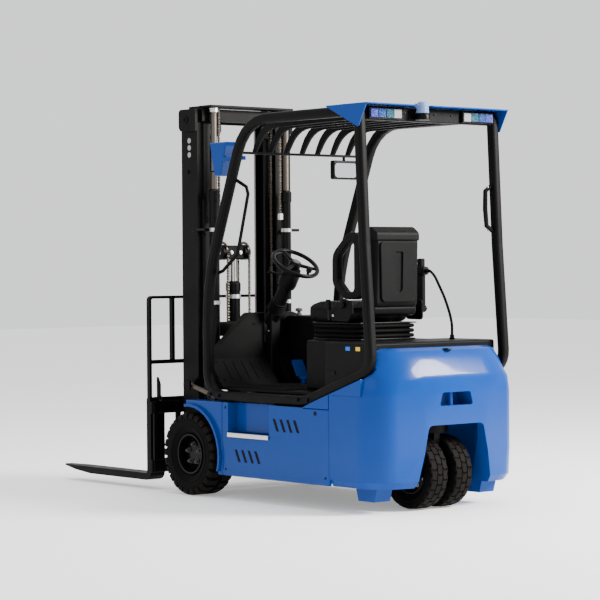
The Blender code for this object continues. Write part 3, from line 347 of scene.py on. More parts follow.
@dataclass(frozen=True)
class Metal:
    """Bare, plated or polished metal with fine drawn lines."""

    name: str
    slot: str
    colour: tuple[float, float, float, float]
    stain: tuple[float, float, float, float]
    roughness: float
    lines: Point
    stained: float

    def build(self) -> bpy.types.Material:
        """Return the node material."""
        graph = Graph(self.name)
        spots = graph.noise(70.0, 6.0).step(0.50, 0.80) * self.stained
        drawn = graph.noise(90.0, 3.0, self.lines)
        graph.set(Base_Color=graph.mix(spots, self.colour, self.stain))
        graph.set(Metallic=1.0 - spots * 0.4, Roughness=self.roughness + drawn * 0.16 + spots * 0.3)
        graph.bump(drawn, 0.0002)
        return graph.material


@dataclass(frozen=True)
class Lens:
    """Clear or tinted lamp plastic with flutes moulded inside."""

    name: str
    slot: str
    colour: tuple[float, float, float, float]
    glow: float
    clear: float
    flutes: float

    def build(self) -> bpy.types.Material:
        """Return the node material."""
        graph = Graph(self.name)
        rib = (graph.axis("X") * self.flutes).wave() * 0.5 + (graph.axis("Z") * self.flutes).wave() * 0.5
        fleck = graph.noise(160.0, 2.0).step(0.40, 0.65)
        pale = tuple(min(1.0, c * 0.70 + 0.09) for c in self.colour[:3]) + (1.0,)
        graph.set(Base_Color=graph.mix(fleck * 0.30 + rib * 0.10, self.colour, pale))
        graph.set(Roughness=0.08 + fleck * 0.10, Transmission_Weight=self.clear, IOR=1.49)
        graph.set(Emission_Color=self.colour, Emission_Strength=self.glow, Coat_Weight=0.05,
                  Specular_IOR_Level=0.12)
        graph.bump(rib, 0.0008)
        return graph.material


@dataclass(frozen=True)
class Mirror:
    """Silvered glass with a faint haze."""

    name: str
    slot: str

    def build(self) -> bpy.types.Material:
        """Return the node material."""
        graph = Graph(self.name)
        haze = graph.noise(30.0, 5.0).step(0.45, 0.80)
        graph.set(Base_Color=graph.mix(haze * 0.3, rgb(0.86, 0.88, 0.88), rgb(0.66, 0.70, 0.72)))
        graph.set(Metallic=1.0, Roughness=0.02 + haze * 0.06)
        graph.bump(graph.noise(5.0, 1.0), 0.0004)
        return graph.material


class Coat(Enum):
    """Every finish of the truck."""

    BLUE = Paint("azure_enamel", "blue_paint", rgb(0.0003, 0.0350, 0.200), rgb(0.0004, 0.0385, 0.218),
                 rgb(0.0120, 0.0600, 0.210), 0.20, 0.14, 0.00022, 260.0, 0.06, 0.08)
    BLACK = Paint("powder_black", "black_paint", rgb(0.0016, 0.0014, 0.0013), rgb(0.0026, 0.0022, 0.0021),
                  rgb(0.0120, 0.0100, 0.0090), 0.42, 0.0, 0.00035, 520.0, 0.10, 0.07)
    SMOOTH_BLACK = Paint("satin_black", "black_paint", rgb(0.0016, 0.0015, 0.0015), rgb(0.0025, 0.0022, 0.0022),
                         rgb(0.0100, 0.0090, 0.0080), 0.28, 0.0, 0.00018, 300.0, 0.05, 0.12)
    CAST = Paint("cast_grey", "grey_iron", rgb(0.018, 0.017, 0.016), rgb(0.026, 0.025, 0.024),
                 rgb(0.050, 0.044, 0.038), 0.55, 0.0, 0.00080, 180.0, 0.30)
    PLASTIC = Moulding("grained_plastic", "black_plastic", rgb(0.0018, 0.0016, 0.0016), rgb(0.0046, 0.0042, 0.0040),
                       0.46, 520.0, 0.00022)
    SMOOTH_PLASTIC = Moulding("smooth_plastic", "black_plastic", rgb(0.0018, 0.0017, 0.0017),
                              rgb(0.0040, 0.0038, 0.0038), 0.30, 900.0, 0.00008)
    GREY_PLASTIC = Moulding("grey_plastic", "black_plastic", rgb(0.060, 0.060, 0.062), rgb(0.090, 0.090, 0.092),
                            0.42, 620.0, 0.00015)
    VINYL = Moulding("grained_vinyl", "seat_vinyl", rgb(0.0024, 0.0021, 0.0021), rgb(0.0054, 0.0050, 0.0048),
                     0.44, 340.0, 0.00040)
    TYRE = Rubber("carcass_rubber", "tyre_rubber", rgb(0.0016, 0.0014, 0.0013), rgb(0.0060, 0.0050, 0.0044), 0.40)
    TREAD = Rubber("tread_rubber", "tyre_rubber", rgb(0.0032, 0.0027, 0.0024), rgb(0.0160, 0.0130, 0.0112), 0.55)
    HOSE = Rubber("hose_rubber", "rubber", rgb(0.0022, 0.0020, 0.0020), rgb(0.0090, 0.0080, 0.0072), 0.25)
    MAT = Rubber("mat_rubber", "rubber", rgb(0.0030, 0.0027, 0.0026), rgb(0.0130, 0.0115, 0.0105), 0.35)
    CHROME = Metal("hard_chrome", "bright_steel", rgb(0.66, 0.66, 0.65), rgb(0.35, 0.30, 0.25), 0.10,
                   (1.0, 1.0, 0.1), 0.25)
    ZINC = Metal("zinc_plate", "bright_steel", rgb(0.56, 0.56, 0.54), rgb(0.26, 0.23, 0.20), 0.30,
                 (1.0, 1.0, 1.0), 0.45)
    ALUMINIUM = Metal("brushed_aluminium", "bright_steel", rgb(0.70, 0.68, 0.64), rgb(0.42, 0.37, 0.31), 0.32,
                      (6.0, 0.4, 6.0), 0.40)
    CHAIN = Metal("oiled_chain", "bright_steel", rgb(0.115, 0.098, 0.082), rgb(0.030, 0.024, 0.020), 0.36,
                  (1.0, 1.0, 0.5), 0.55)
    WORN = Metal("rubbed_steel", "bright_steel", rgb(0.20, 0.185, 0.17), rgb(0.055, 0.045, 0.040), 0.34,
                 (1.0, 1.0, 0.2), 0.60)
    BLUE_LENS = Lens("blue_lens", "lamp_lens", rgb(0.001, 0.030, 0.150), 0.01, 0.0, 900.0)
    TEAL_LENS = Lens("teal_lens", "lamp_lens", rgb(0.001, 0.052, 0.082), 0.01, 0.0, 900.0)
    VIOLET_LENS = Lens("violet_lens", "lamp_lens", rgb(0.020, 0.032, 0.210), 0.01, 0.0, 900.0)
    CLEAR_LENS = Lens("clear_lens", "lamp_lens", rgb(0.240, 0.250, 0.260), 0.01, 0.0, 700.0)
    DOME = Lens("beacon_dome", "lamp_lens", rgb(0.200, 0.300, 0.560), 0.02, 0.35, 420.0)
    GLASS = Mirror("mirror_glass", "bright_steel")
    SCREEN = Moulding("display_glass", "black_plastic", rgb(0.0050, 0.0060, 0.0080), rgb(0.0100, 0.0110, 0.0130),
                      0.10, 900.0, 0.00002)
    BLUE_MARK = Moulding("blue_label", "blue_paint", rgb(0.010, 0.120, 0.520), rgb(0.020, 0.150, 0.560),
                         0.34, 900.0, 0.00003)
    LIGHT_MARK = Moulding("pale_label", "bright_steel", rgb(0.300, 0.300, 0.300), rgb(0.250, 0.250, 0.250),
                          0.40, 900.0, 0.00003)
    YELLOW_MARK = Moulding("yellow_label", "bright_steel", rgb(0.620, 0.430, 0.020), rgb(0.560, 0.400, 0.040),
                           0.34, 900.0, 0.00003)

    def material(self) -> bpy.types.Material:
        """Return the finish's material, built on first use."""
        found = bpy.data.materials.get(self.value.name)
        return found if found is not None else self.value.build()


# ------------------------------------------------------------------ modelling bench
class Axis(Enum):
    """The direction in which a flat outline is drawn out, with its world places."""

    X = "X"
    Y = "Y"
    Z = "Z"

    def place(self, u: float, v: float, depth: float) -> Vector:
        """Return the point of outline place (u, v) at a depth along this axis."""
        if self is Axis.X:
            return at(depth, u, v)
        if self is Axis.Y:
            return at(u, depth, v)
        return at(u, v, depth)


class Bench:
    """Modelling steps, each of which leaves one mesh object at the origin."""

    @staticmethod
    def only(*objects: bpy.types.Object) -> None:
        """Select these objects and no others, the first one active."""
        bpy.ops.object.select_all(action="DESELECT")
        for obj in objects:
            obj.select_set(True)
        bpy.context.view_layer.objects.active = objects[0]

    @staticmethod
    def new() -> bpy.types.Object:
        """Return the primitive that was just added, selected alone."""
        obj = bpy.context.object
        Bench.only(obj)
        return obj

    @staticmethod
    def settle(obj: bpy.types.Object) -> bpy.types.Object:
        """Apply the object's place, turn and size to its mesh."""
        Bench.only(obj)
        bpy.ops.object.transform_apply(location=True, rotation=True, scale=True)
        return obj

    @staticmethod
    def tidy(obj: bpy.types.Object, merge: float = 1e-5) -> bpy.types.Object:
        """Merge doubles and point the faces outwards."""
        Bench.only(obj)
        bpy.ops.object.mode_set(mode="EDIT")
        bpy.ops.mesh.select_all(action="SELECT")
        bpy.ops.mesh.remove_doubles(threshold=merge)
        bpy.ops.mesh.normals_make_consistent(inside=False)
        bpy.ops.object.mode_set(mode="OBJECT")
        return obj

    @staticmethod
    def soften(obj: bpy.types.Object, width: float, segments: int = 2, angle: float = 32.0) -> bpy.types.Object:
        """Round the sharp edges and shade the rest smooth.

        Args:
            obj: The piece.
            width: Bevel width in metres; 0 only shades.
            segments: Bevel segments.
            angle: Edges sharper than this, in degrees, are rounded.

        Returns:
            The piece.
        """
        Bench.only(obj)
        if width > 0:
            bevel = obj.modifiers.new("edges", "BEVEL")
            bevel.width = width
            bevel.segments = segments
            bevel.limit_method = "ANGLE"
            bevel.angle_limit = math.radians(angle)
            bevel.use_clamp_overlap = True
            bevel.harden_normals = False
            bpy.ops.object.modifier_apply(modifier=bevel.name)
        bpy.ops.object.shade_smooth_by_angle(angle=math.radians(angle + 6))
        if width > 0:
            even = obj.modifiers.new("flats", "WEIGHTED_NORMAL")
            even.mode = "FACE_AREA"
            even.weight = 100
            even.keep_sharp = True
            bpy.ops.object.modifier_apply(modifier=even.name)
        return obj

    @staticmethod
    def block(x: Pair, y: Pair, z: Pair, edge: float = 0.0, segments: int = 2) -> bpy.types.Object:
        """Return a box between (low, high) pairs, its edges rounded."""
        middle = at(sum(x) / 2, sum(y) / 2, sum(z) / 2)
        bpy.ops.mesh.primitive_cube_add(size=1, location=middle)
        obj = Bench.new()
        obj.scale = (abs(x[1] - x[0]), abs(y[1] - y[0]), abs(z[1] - z[0]))
        return Bench.soften(Bench.settle(obj), edge, segments)

    @staticmethod
    def bar(start: Vector, end: Vector, radius: float, sides: int = 16, edge: float = 0.0,
            tip: Optional[float] = None) -> bpy.types.Object:
        """Return a straight round bar.

        Args:
            start: One end.
            end: The other end.
            radius: Radius at start.
            sides: Sides round it.
            edge: Rounding of its rims.
            tip: Radius at end, the same as radius when left out.

        Returns:
            The piece.
        """
        along = end - start
        turn = along.to_track_quat("Z", "Y").to_euler()
        bpy.ops.mesh.primitive_cone_add(
            vertices=sides, radius1=radius, radius2=radius if tip is None else tip,
            depth=along.length, location=(start + end) / 2, rotation=turn)
        return Bench.soften(Bench.settle(Bench.new()), edge)

    @staticmethod
    def plate(axis: Axis, low: float, high: float, outline: Sequence[Pair], edge: float = 0.0,
              segments: int = 2) -> bpy.types.Object:
        """Return a flat outline drawn out along an axis.

        Args:
            axis: The direction of the thickness.
            low: Lower face.
            high: Upper face.
            outline: (u, v) corners, y being measured from the front axle.
            edge: Rounding of the rims.
            segments: Segments of the rounding.

        Returns:
            The piece.
        """
        bpy.ops.mesh.primitive_circle_add(vertices=len(outline), radius=1, fill_type="NGON")
        obj = Bench.new()
        for vertex, (u, v) in zip(obj.data.vertices, outline):
            vertex.co = axis.place(u, v, low)
        shift = axis.place(0, 0, high) - axis.place(0, 0, low)
        bpy.ops.object.mode_set(mode="EDIT")
        bpy.ops.mesh.select_all(action="SELECT")
        bpy.ops.mesh.extrude_region_move(TRANSFORM_OT_translate={"value": shift})
        bpy.ops.object.mode_set(mode="OBJECT")
        return Bench.soften(Bench.tidy(obj), edge, segments)

    @staticmethod
    def turned(centre: Vector, axis: Vector, profile: Sequence[Pair], steps: int = 32, closed: bool = True,
               edge: float = 0.0) -> bpy.types.Object:
        """Return a (radius, height) profile spun about an axis.

        Args:
            centre: Where height is 0.
            axis: Direction of rising height.
            profile: The profile's corners.
            steps: Steps round.
            closed: Whether the profile is a closed loop off the axis.
            edge: Rounding of the sharp edges.

        Returns:
            The piece.
        """
        turn = axis.to_track_quat("Z", "Y").to_matrix()
        bpy.ops.mesh.primitive_circle_add(vertices=len(profile), radius=1, fill_type="NOTHING")
        obj = Bench.new()
        for vertex, (radius, height) in zip(obj.data.vertices, profile):
            vertex.co = centre + turn @ Vector((radius, 0, height))
        bpy.ops.object.mode_set(mode="EDIT")
        if not closed:
            bpy.ops.mesh.select_all(action="DESELECT")
            bpy.ops.object.mode_set(mode="OBJECT")
            for link in obj.data.edges:
                link.select = set(link.vertices) == {0, len(profile) - 1}
            bpy.ops.object.mode_set(mode="EDIT")
            bpy.ops.mesh.select_mode(type="EDGE")
            bpy.ops.mesh.delete(type="EDGE_FACE" if len(profile) < 3 else "ONLY_FACE")
            bpy.ops.mesh.select_mode(type="VERT")
        bpy.ops.mesh.select_all(action="SELECT")
        bpy.ops.mesh.spin(steps=steps, angle=2 * math.pi, center=centre, axis=axis, dupli=False)
        bpy.ops.object.mode_set(mode="OBJECT")
        return Bench.soften(Bench.tidy(obj, 2e-5), edge)

    @staticmethod
    def tube(points: Sequence[Vector], radius: float, sides: int = 8, bend: int = 4) -> bpy.types.Object:
        """Return a bent round bar on a smooth curve through the points."""
        path = Bench.smooth(points, bend)
        bpy.ops.curve.primitive_nurbs_path_add()
        obj = Bench.new()
        curve = obj.data
        curve.splines.clear()
        spline = curve.splines.new("POLY")
        spline.points.add(len(path) - 1)
        for knot, point in zip(spline.points, path):
            knot.co = (*point, 1)
        obj.location = (0, 0, 0)
        curve.bevel_depth = radius
        curve.bevel_resolution = max(0, sides // 4)
        curve.use_fill_caps = True
        bpy.ops.object.convert(target="MESH")
        obj = bpy.context.object
        return Bench.soften(Bench.tidy(obj), 0.0)

    @staticmethod
    def smooth(points: Sequence[Vector], steps: int) -> list[Vector]:
        """Return points on a Catmull-Rom curve through the given points."""
        if steps < 2 or len(points) < 3:
            return [Vector(point) for point in points]
        padded = [points[0] * 2 - points[1], *points, points[-1] * 2 - points[-2]]
        path: list[Vector] = []
        for a, b, c, d in zip(padded, padded[1:], padded[2:], padded[3:]):
            for k in range(steps):
                t = k / steps
                cubic = 3 * b - a - 3 * c + d
                path.append((b * 2 + (c - a) * t + (a * 2 - b * 5 + c * 4 - d) * t * t + cubic * t ** 3) / 2)
        path.append(Vector(points[-1]))
        return path

    @staticmethod
    def fused(pieces: Sequence[bpy.types.Object]) -> bpy.types.Object:
        """Join several objects into the first one."""
        if len(pieces) > 1:
            Bench.only(*pieces)
            bpy.ops.object.join()
        return pieces[0]

    @staticmethod
    def copy(obj: bpy.types.Object, shift: Vector) -> bpy.types.Object:
        """Return a copy with its own mesh, moved by shift."""
        Bench.only(obj)
        bpy.ops.object.duplicate(linked=False)
        made = bpy.context.object
        made.location = shift
        return Bench.settle(made)

    @staticmethod
    def round_about(obj: bpy.types.Object, centre: Vector, axis: Vector, count: int) -> bpy.types.Object:
        """Repeat a piece evenly round an axis, in its own mesh."""
        Bench.only(obj)
        bpy.ops.object.mode_set(mode="EDIT")
        bpy.ops.mesh.select_all(action="SELECT")
        bpy.ops.mesh.spin(steps=count, angle=2 * math.pi, center=centre, axis=axis, dupli=True)
        bpy.ops.mesh.select_all(action="SELECT")
        bpy.ops.mesh.remove_doubles(threshold=1e-5)
        bpy.ops.object.mode_set(mode="OBJECT")
        return obj

    @staticmethod
    def row(obj: bpy.types.Object, count: int, pitch: Vector) -> bpy.types.Object:
        """Repeat a piece in a straight row, in its own mesh."""
        Bench.only(obj)
        array = obj.modifiers.new("row", "ARRAY")
        array.count = count
        array.use_relative_offset = False
        array.use_constant_offset = True
        array.constant_offset_displace = pitch
        bpy.ops.object.modifier_apply(modifier=array.name)
        return obj

    @staticmethod
    def carved(obj: bpy.types.Object, cutters: Iterable[bpy.types.Object]) -> bpy.types.Object:
        """Take cutters away from a piece."""
        for cutter in cutters:
            Bench.only(obj)
            bite = obj.modifiers.new("cut", "BOOLEAN")
            bite.operation = "DIFFERENCE"
            bite.solver = "EXACT"
            bite.object = cutter
            bpy.ops.object.modifier_apply(modifier=bite.name)
            bpy.data.objects.remove(cutter)
        return obj

    @staticmethod
    def turn(obj: bpy.types.Object, angle: float, axis: Vector, centre: Vector) -> bpy.types.Object:
        """Turn a piece by an angle in degrees about an axis through a centre."""
        spin = Matrix.Rotation(math.radians(angle), 4, axis)
        obj.matrix_world = Matrix.Translation(centre) @ spin @ Matrix.Translation(-centre)
        return Bench.settle(obj)

    @staticmethod
    def from_node(node: str, edge: float, angle: float = 32.0) -> bpy.types.Object:
        """Return a merged copy of a frame node with its edges rounded.

        Args:
            node: The node's name.
            edge: Width of the rounding.
            angle: Edges sharper than this are rounded, in degrees.

        Returns:
            The copy, ready to replace the node.
        """
        source = frame["nodes"][node]
        Bench.only(source)
        bpy.ops.object.duplicate(linked=False)
        made = bpy.context.object
        for key in list(made.keys()):
            del made[key]
        made.parent = None
        made.matrix_world = Matrix.Identity(4)
        Bench.only(made)
        bpy.ops.object.mode_set(mode="EDIT")
        bpy.ops.mesh.select_all(action="SELECT")
        bpy.ops.mesh.remove_doubles(threshold=2e-5)
        bpy.ops.mesh.dissolve_limited(angle_limit=math.radians(0.6))
        bpy.ops.object.mode_set(mode="OBJECT")
        return Bench.soften(made, edge, 2, angle)


def bolt(place: Vector, axis: Vector, radius: float, height: float, socket: bool = False) -> bpy.types.Object:
    """Return a bolt head standing on a surface.

    Args:
        place: Middle of its foot.
        axis: Direction it points in.
        radius: Half its width.
        height: How far it stands out.
        socket: A round head with a hexagon socket, otherwise a hexagon head on a washer.

    Returns:
        The piece.
    """
    out = axis.normalized()
    if socket:
        profile = [(0, height * 0.45), (radius * 0.50, height * 0.45), (radius * 0.52, height),
                   (radius * 0.85, height), (radius, height * 0.75), (radius, 0)]
        return Bench.turned(place, out, profile, 12, closed=False)
    washer = Bench.bar(place, place + out * height * 0.22, radius * 1.30, 14, height * 0.04)
    head = Bench.bar(place + out * height * 0.20, place + out * height, radius, 6, height * 0.10)
    return Bench.fused([washer, head])


def rounded(corners: Sequence[tuple[float, float, float]], steps: int = 5) -> list[Pair]:
    """Return an outline whose corners (u, v, radius) are turned into arcs."""
    outline: list[Pair] = []
    count = len(corners)
    for i, (u, v, radius) in enumerate(corners):
        here = Vector((u, v))
        if radius <= 0:
            outline.append((u, v))
            continue
        before = (Vector(corners[i - 1][:2]) - here).normalized()
        after = (Vector(corners[(i + 1) % count][:2]) - here).normalized()
        half = before.angle(after) / 2
        run = radius / math.tan(half)
        middle = here + (before + after).normalized() * (radius / math.sin(half))
        first = here + before * run - middle
        last = here + after * run - middle
        sweep = first.angle_signed(last)
        for k in range(steps + 1):
            spoke = first.copy()
            spoke.rotate(Matrix.Rotation(-sweep * k / steps, 2))
            outline.append(tuple(middle + spoke))
    return outline


@dataclass
class Assembly:
    """A group of pieces that ride on one body unless they say otherwise."""

    body: str = "chassis"
    made: int = 0

    def keep(self, obj: bpy.types.Object, name: str, coat: Coat, body: Optional[str] = None,
             replaces: Sequence[str] = ()) -> bpy.types.Object:
        """Name a finished piece, dress it and hand it to its body.

        Args:
            obj: The piece.
            name: Its name.
            coat: Its finish.
            body: The body it rides on, the assembly's when left out.
            replaces: Frame nodes that it stands for.

        Returns:
            The piece.
        """
        obj.name = name
        obj.data.name = name
        obj.data.materials.clear()
        obj.data.materials.append(coat.material())
        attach(obj, body or self.body)
        if replaces:
            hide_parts(*replaces)
        self.made += 1
        LOG.info("%s on %s: %d faces", name, body or self.body, len(obj.data.polygons))
        return obj

    def refine(self, node: str, coat: Coat, edge: float = 0.002, angle: float = 32.0,
               body: Optional[str] = None) -> bpy.types.Object:
        """Replace a frame node by its copy with rounded edges."""
        obj = Bench.from_node(node, edge, angle)
        return self.keep(obj, f"{node}_skin", coat, body or frame["nodes"][node]["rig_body"], [node])

    def dress(self, node: str, coat: Coat) -> None:
        """Give a frame node its finish and leave its shape as it is."""
        mesh = frame["nodes"][node].data
        mesh.materials.clear()
        mesh.materials.append(coat.material())
        LOG.info("%s dressed", node)

    def build(self) -> None:
        """Make every piece; each assembly has its own."""
        raise NotImplementedError


TREES: dict[str, BVHTree] = {}


def touch(node: str, start: Vector, way: Vector) -> Vector:
    """Return where a straight line first meets a frame node.

    Args:
        node: The node's name.
        start: Where the line starts.
        way: Its direction.

    Returns:
        The place met, or start when the line misses.
    """
    if node not in TREES:
        mesh = frame["nodes"][node].data
        corners = [vertex.co.copy() for vertex in mesh.vertices]
        TREES[node] = BVHTree.FromPolygons(corners, [tuple(face.vertices) for face in mesh.polygons])
    place = TREES[node].ray_cast(start, way.normalized())[0]
    return start.copy() if place is None else place


def bolts(node: str, starts: Iterable[Vector], way: Vector, radius: float, height: float,
          socket: bool = False) -> bpy.types.Object:
    """Return bolt heads standing on a frame node where lines from the starts meet it."""
    heads = [bolt(touch(node, start, way) + way.normalized() * 0.0004, -way, radius, height, socket)
             for start in starts]
    return Bench.fused(heads)


# ------------------------------------------------------------------ wheels
RIGHT = Vector((1, 0, 0))
BACK = Vector((0, 1, 0))
UP = Vector((0, 0, 1))


@dataclass
class FrontWheel(Assembly):
    """One drive wheel with its lugged tyre and dished rim."""

    side: int = 1
    word: str = "left"
    lugs: int = 26
    groove: float = 0.0125
    nuts: int = 5

    def build(self) -> None:
        """Make the tyre, its lugs, the rim and its nuts."""
        self.body = f"front_wheel_{self.word}"
        low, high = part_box(f"front_tyre_{self.word}")
        rim_low, rim_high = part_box(f"front_rim_{self.word}")
        self.radius = (high.z - low.z) / 2
        self.half = (high.x - low.x) / 2
        self.seat = (rim_high.z - rim_low.z) / 2 + 0.0005
        self.centre = at((low.x + high.x) / 2, 0, self.radius)
        self.tyre()
        self.rim()

    def tyre(self) -> None:
        """The carcass with its rings, and the lugs in two staggered rows."""
        deep = self.radius - self.groove
        edge = self.half
        side = [(self.seat, edge - 0.026), (self.seat + 0.020, edge - 0.010), (self.seat + 0.040, edge - 0.0030),
                (self.seat + 0.0415, edge - 0.0008), (self.seat + 0.047, edge - 0.0008),
                (self.seat + 0.0485, edge - 0.0030), (deep - 0.040, edge - 0.0020), (deep - 0.022, edge - 0.0030),
                (deep - 0.008, edge - 0.0120), (deep, edge - 0.0260)]
        profile = side + [(r, -h) for r, h in reversed(side)]
        carcass = Bench.turned(self.centre, RIGHT * self.side, profile, 72)
        self.keep(carcass, f"front_tyre_{self.word}_carcass", Coat.TYRE, replaces=[f"front_tyre_{self.word}"])
        pitch = 2 * math.pi * self.radius / self.lugs
        rows: list[bpy.types.Object] = []
        for way in (1, -1):
            outline = [(0.012, deep - 0.004), (0.012, self.radius - 0.0006), (edge - 0.020, self.radius - 0.0010),
                       (edge - 0.0075, self.radius - 0.0060), (edge - 0.0010, self.radius - 0.0190),
                       (edge - 0.0008, self.radius - 0.0330), (edge - 0.0060, self.radius - 0.0340),
                       (edge - 0.0200, deep - 0.010)]
            outline = [(self.centre.x + way * u, self.radius + v) for u, v in outline]
            lug = Bench.plate(Axis.Y, -pitch * 0.33, pitch * 0.33, outline, 0.0022, 2)
            Bench.turn(lug, (90 if way > 0 else 90 + 180 / self.lugs), RIGHT, self.centre)
            rows.append(Bench.round_about(lug, self.centre, RIGHT, self.lugs))
        self.keep(Bench.fused(rows), f"front_tyre_{self.word}_lugs", Coat.TREAD)

    def rim(self) -> None:
        """The pressed rim, its wheel nuts and its ring of rim bolts."""
        self.refine(f"front_rim_{self.word}", Coat.SMOOTH_BLACK, 0.0022, 28.0)
        out = RIGHT * self.side
        start = self.centre + out * 0.2
        nuts = []
        for k in range(self.nuts):
            turn = 2 * math.pi * (k + 0.25) / self.nuts
            spoke = Vector((0, math.cos(turn), math.sin(turn)))
            foot = touch(f"front_rim_{self.word}", start + spoke * 0.052, -out)
            nuts.append(bolt(foot, out, 0.0115, 0.017))
            nuts.append(Bench.bar(foot, foot + out * 0.024, 0.0060, 12, 0.0008))
        self.keep(Bench.fused(nuts), f"wheel_nuts_{self.word}", Coat.CAST)
        rivets = []
        for k in range(10):
            turn = 2 * math.pi * k / 10
            spoke = Vector((0, math.cos(turn), math.sin(turn)))
            foot = touch(f"front_rim_{self.word}", start + spoke * 0.088, -out)
            rivets.append(bolt(foot, out, 0.0065, 0.008))
        self.keep(Bench.fused(rivets), f"rim_bolts_{self.word}", Coat.SMOOTH_BLACK)


@dataclass
class RearWheels(Assembly):
    """The steered twin wheels with block tread."""

    blocks: int = 22
    groove: float = 0.0085

    def build(self) -> None:
        """Make both tyres and the rims."""
        for _, word in SIDES:
            self.tyre(word)
        self.body = "rear_wheels"
        self.refine("rear_rims", Coat.SMOOTH_BLACK, 0.0020, 28.0)
        nuts = []
        for side, word in SIDES:
            low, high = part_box(f"rear_tyre_{word}")
            centre = (low + high) / 2
            for k in range(6):
                turn = 2 * math.pi * (k + 0.5) / 6
                spoke = Vector((0, math.cos(turn), math.sin(turn))) * 0.066
                foot = touch("rear_rims", centre + spoke + RIGHT * side * 0.2, RIGHT * -side)
                nuts.append(bolt(foot, RIGHT * side, 0.0105, 0.013))
        self.keep(Bench.fused(nuts), "rear_wheel_nuts", Coat.ZINC)

    def tyre(self, word: str) -> None:
        """One tyre: carcass, and three rows of blocks set like bricks.

        Args:
            word: The tyre's side, left or right.
        """
        self.body = "rear_wheels"
        low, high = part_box(f"rear_tyre_{word}")
        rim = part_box("rear_rims")
        seat = (rim[1].z - rim[0].z) / 2 + 0.0005
        radius = (high.z - low.z) / 2
        centre = (low + high) / 2
        edge = (high.x - low.x) / 2
        deep = radius - self.groove
        flank = [(seat, edge - 0.016), (seat + 0.014, edge - 0.005), (seat + 0.030, edge - 0.0022),
                 (seat + 0.0315, edge - 0.0006), (seat + 0.036, edge - 0.0006), (seat + 0.0375, edge - 0.0022),
                 (deep - 0.012, edge - 0.0030), (deep, edge - 0.0100)]
        profile = flank + [(r, -h) for r, h in reversed(flank)]
        carcass = Bench.turned(centre, RIGHT, profile, 64)
        self.keep(carcass, f"rear_tyre_{word}_carcass", Coat.TYRE, replaces=[f"rear_tyre_{word}"])
        pitch = 2 * math.pi * radius / self.blocks
        third = (2 * edge - 0.004) / 3
        rows: list[bpy.types.Object] = []
        for k in (-1, 0, 1):
            middle = k * third
            inner, outer = middle - third / 2 + 0.0022, middle + third / 2 - 0.0022
            drop_in = 0.0030 if k == -1 else 0.0
            drop_out = 0.0030 if k == 1 else 0.0
            long = pitch * 0.40
            lean = pitch * 0.10
            outline = [(inner, -long), ((inner + outer) / 2, -long + lean), (outer, -long), (outer, long),
                       ((inner + outer) / 2, long + lean), (inner, long)]
            outline = [(centre.x + u, v) for u, v in outline]
            top = radius - 0.0004
            block = Bench.plate(Axis.Z, deep - 0.005, top, outline, 0.0)
            for vertex in block.data.vertices:
                vertex.co.y += centre.y - AXLE_Y
                across = vertex.co.x - centre.x
                if vertex.co.z > deep and across > outer - 0.001:
                    vertex.co.z -= drop_out
                if vertex.co.z > deep and across < inner + 0.001:
                    vertex.co.z -= drop_in
                vertex.co.z += centre.z - (vertex.co.y - centre.y) ** 2 / (2 * radius)
            Bench.soften(block, 0.0016, 1)
            Bench.turn(block, 90 + (180 / self.blocks if k == 0 else 0), RIGHT, centre)
            rows.append(Bench.round_about(block, centre, RIGHT, self.blocks))
        for flip in (1, -1):
            lug = Bench.block((centre.x + flip * (edge - 0.0065), centre.x + flip * (edge - 0.0006)),
                              (centre.y - AXLE_Y - pitch * 0.30, centre.y - AXLE_Y + pitch * 0.30),
                              (centre.z + deep - 0.016, centre.z + radius - 0.0055), 0.0012, 1)
            rows.append(Bench.round_about(lug, centre, RIGHT, self.blocks))
        self.keep(Bench.fused(rows), f"rear_tyre_{word}_tread", Coat.TREAD)


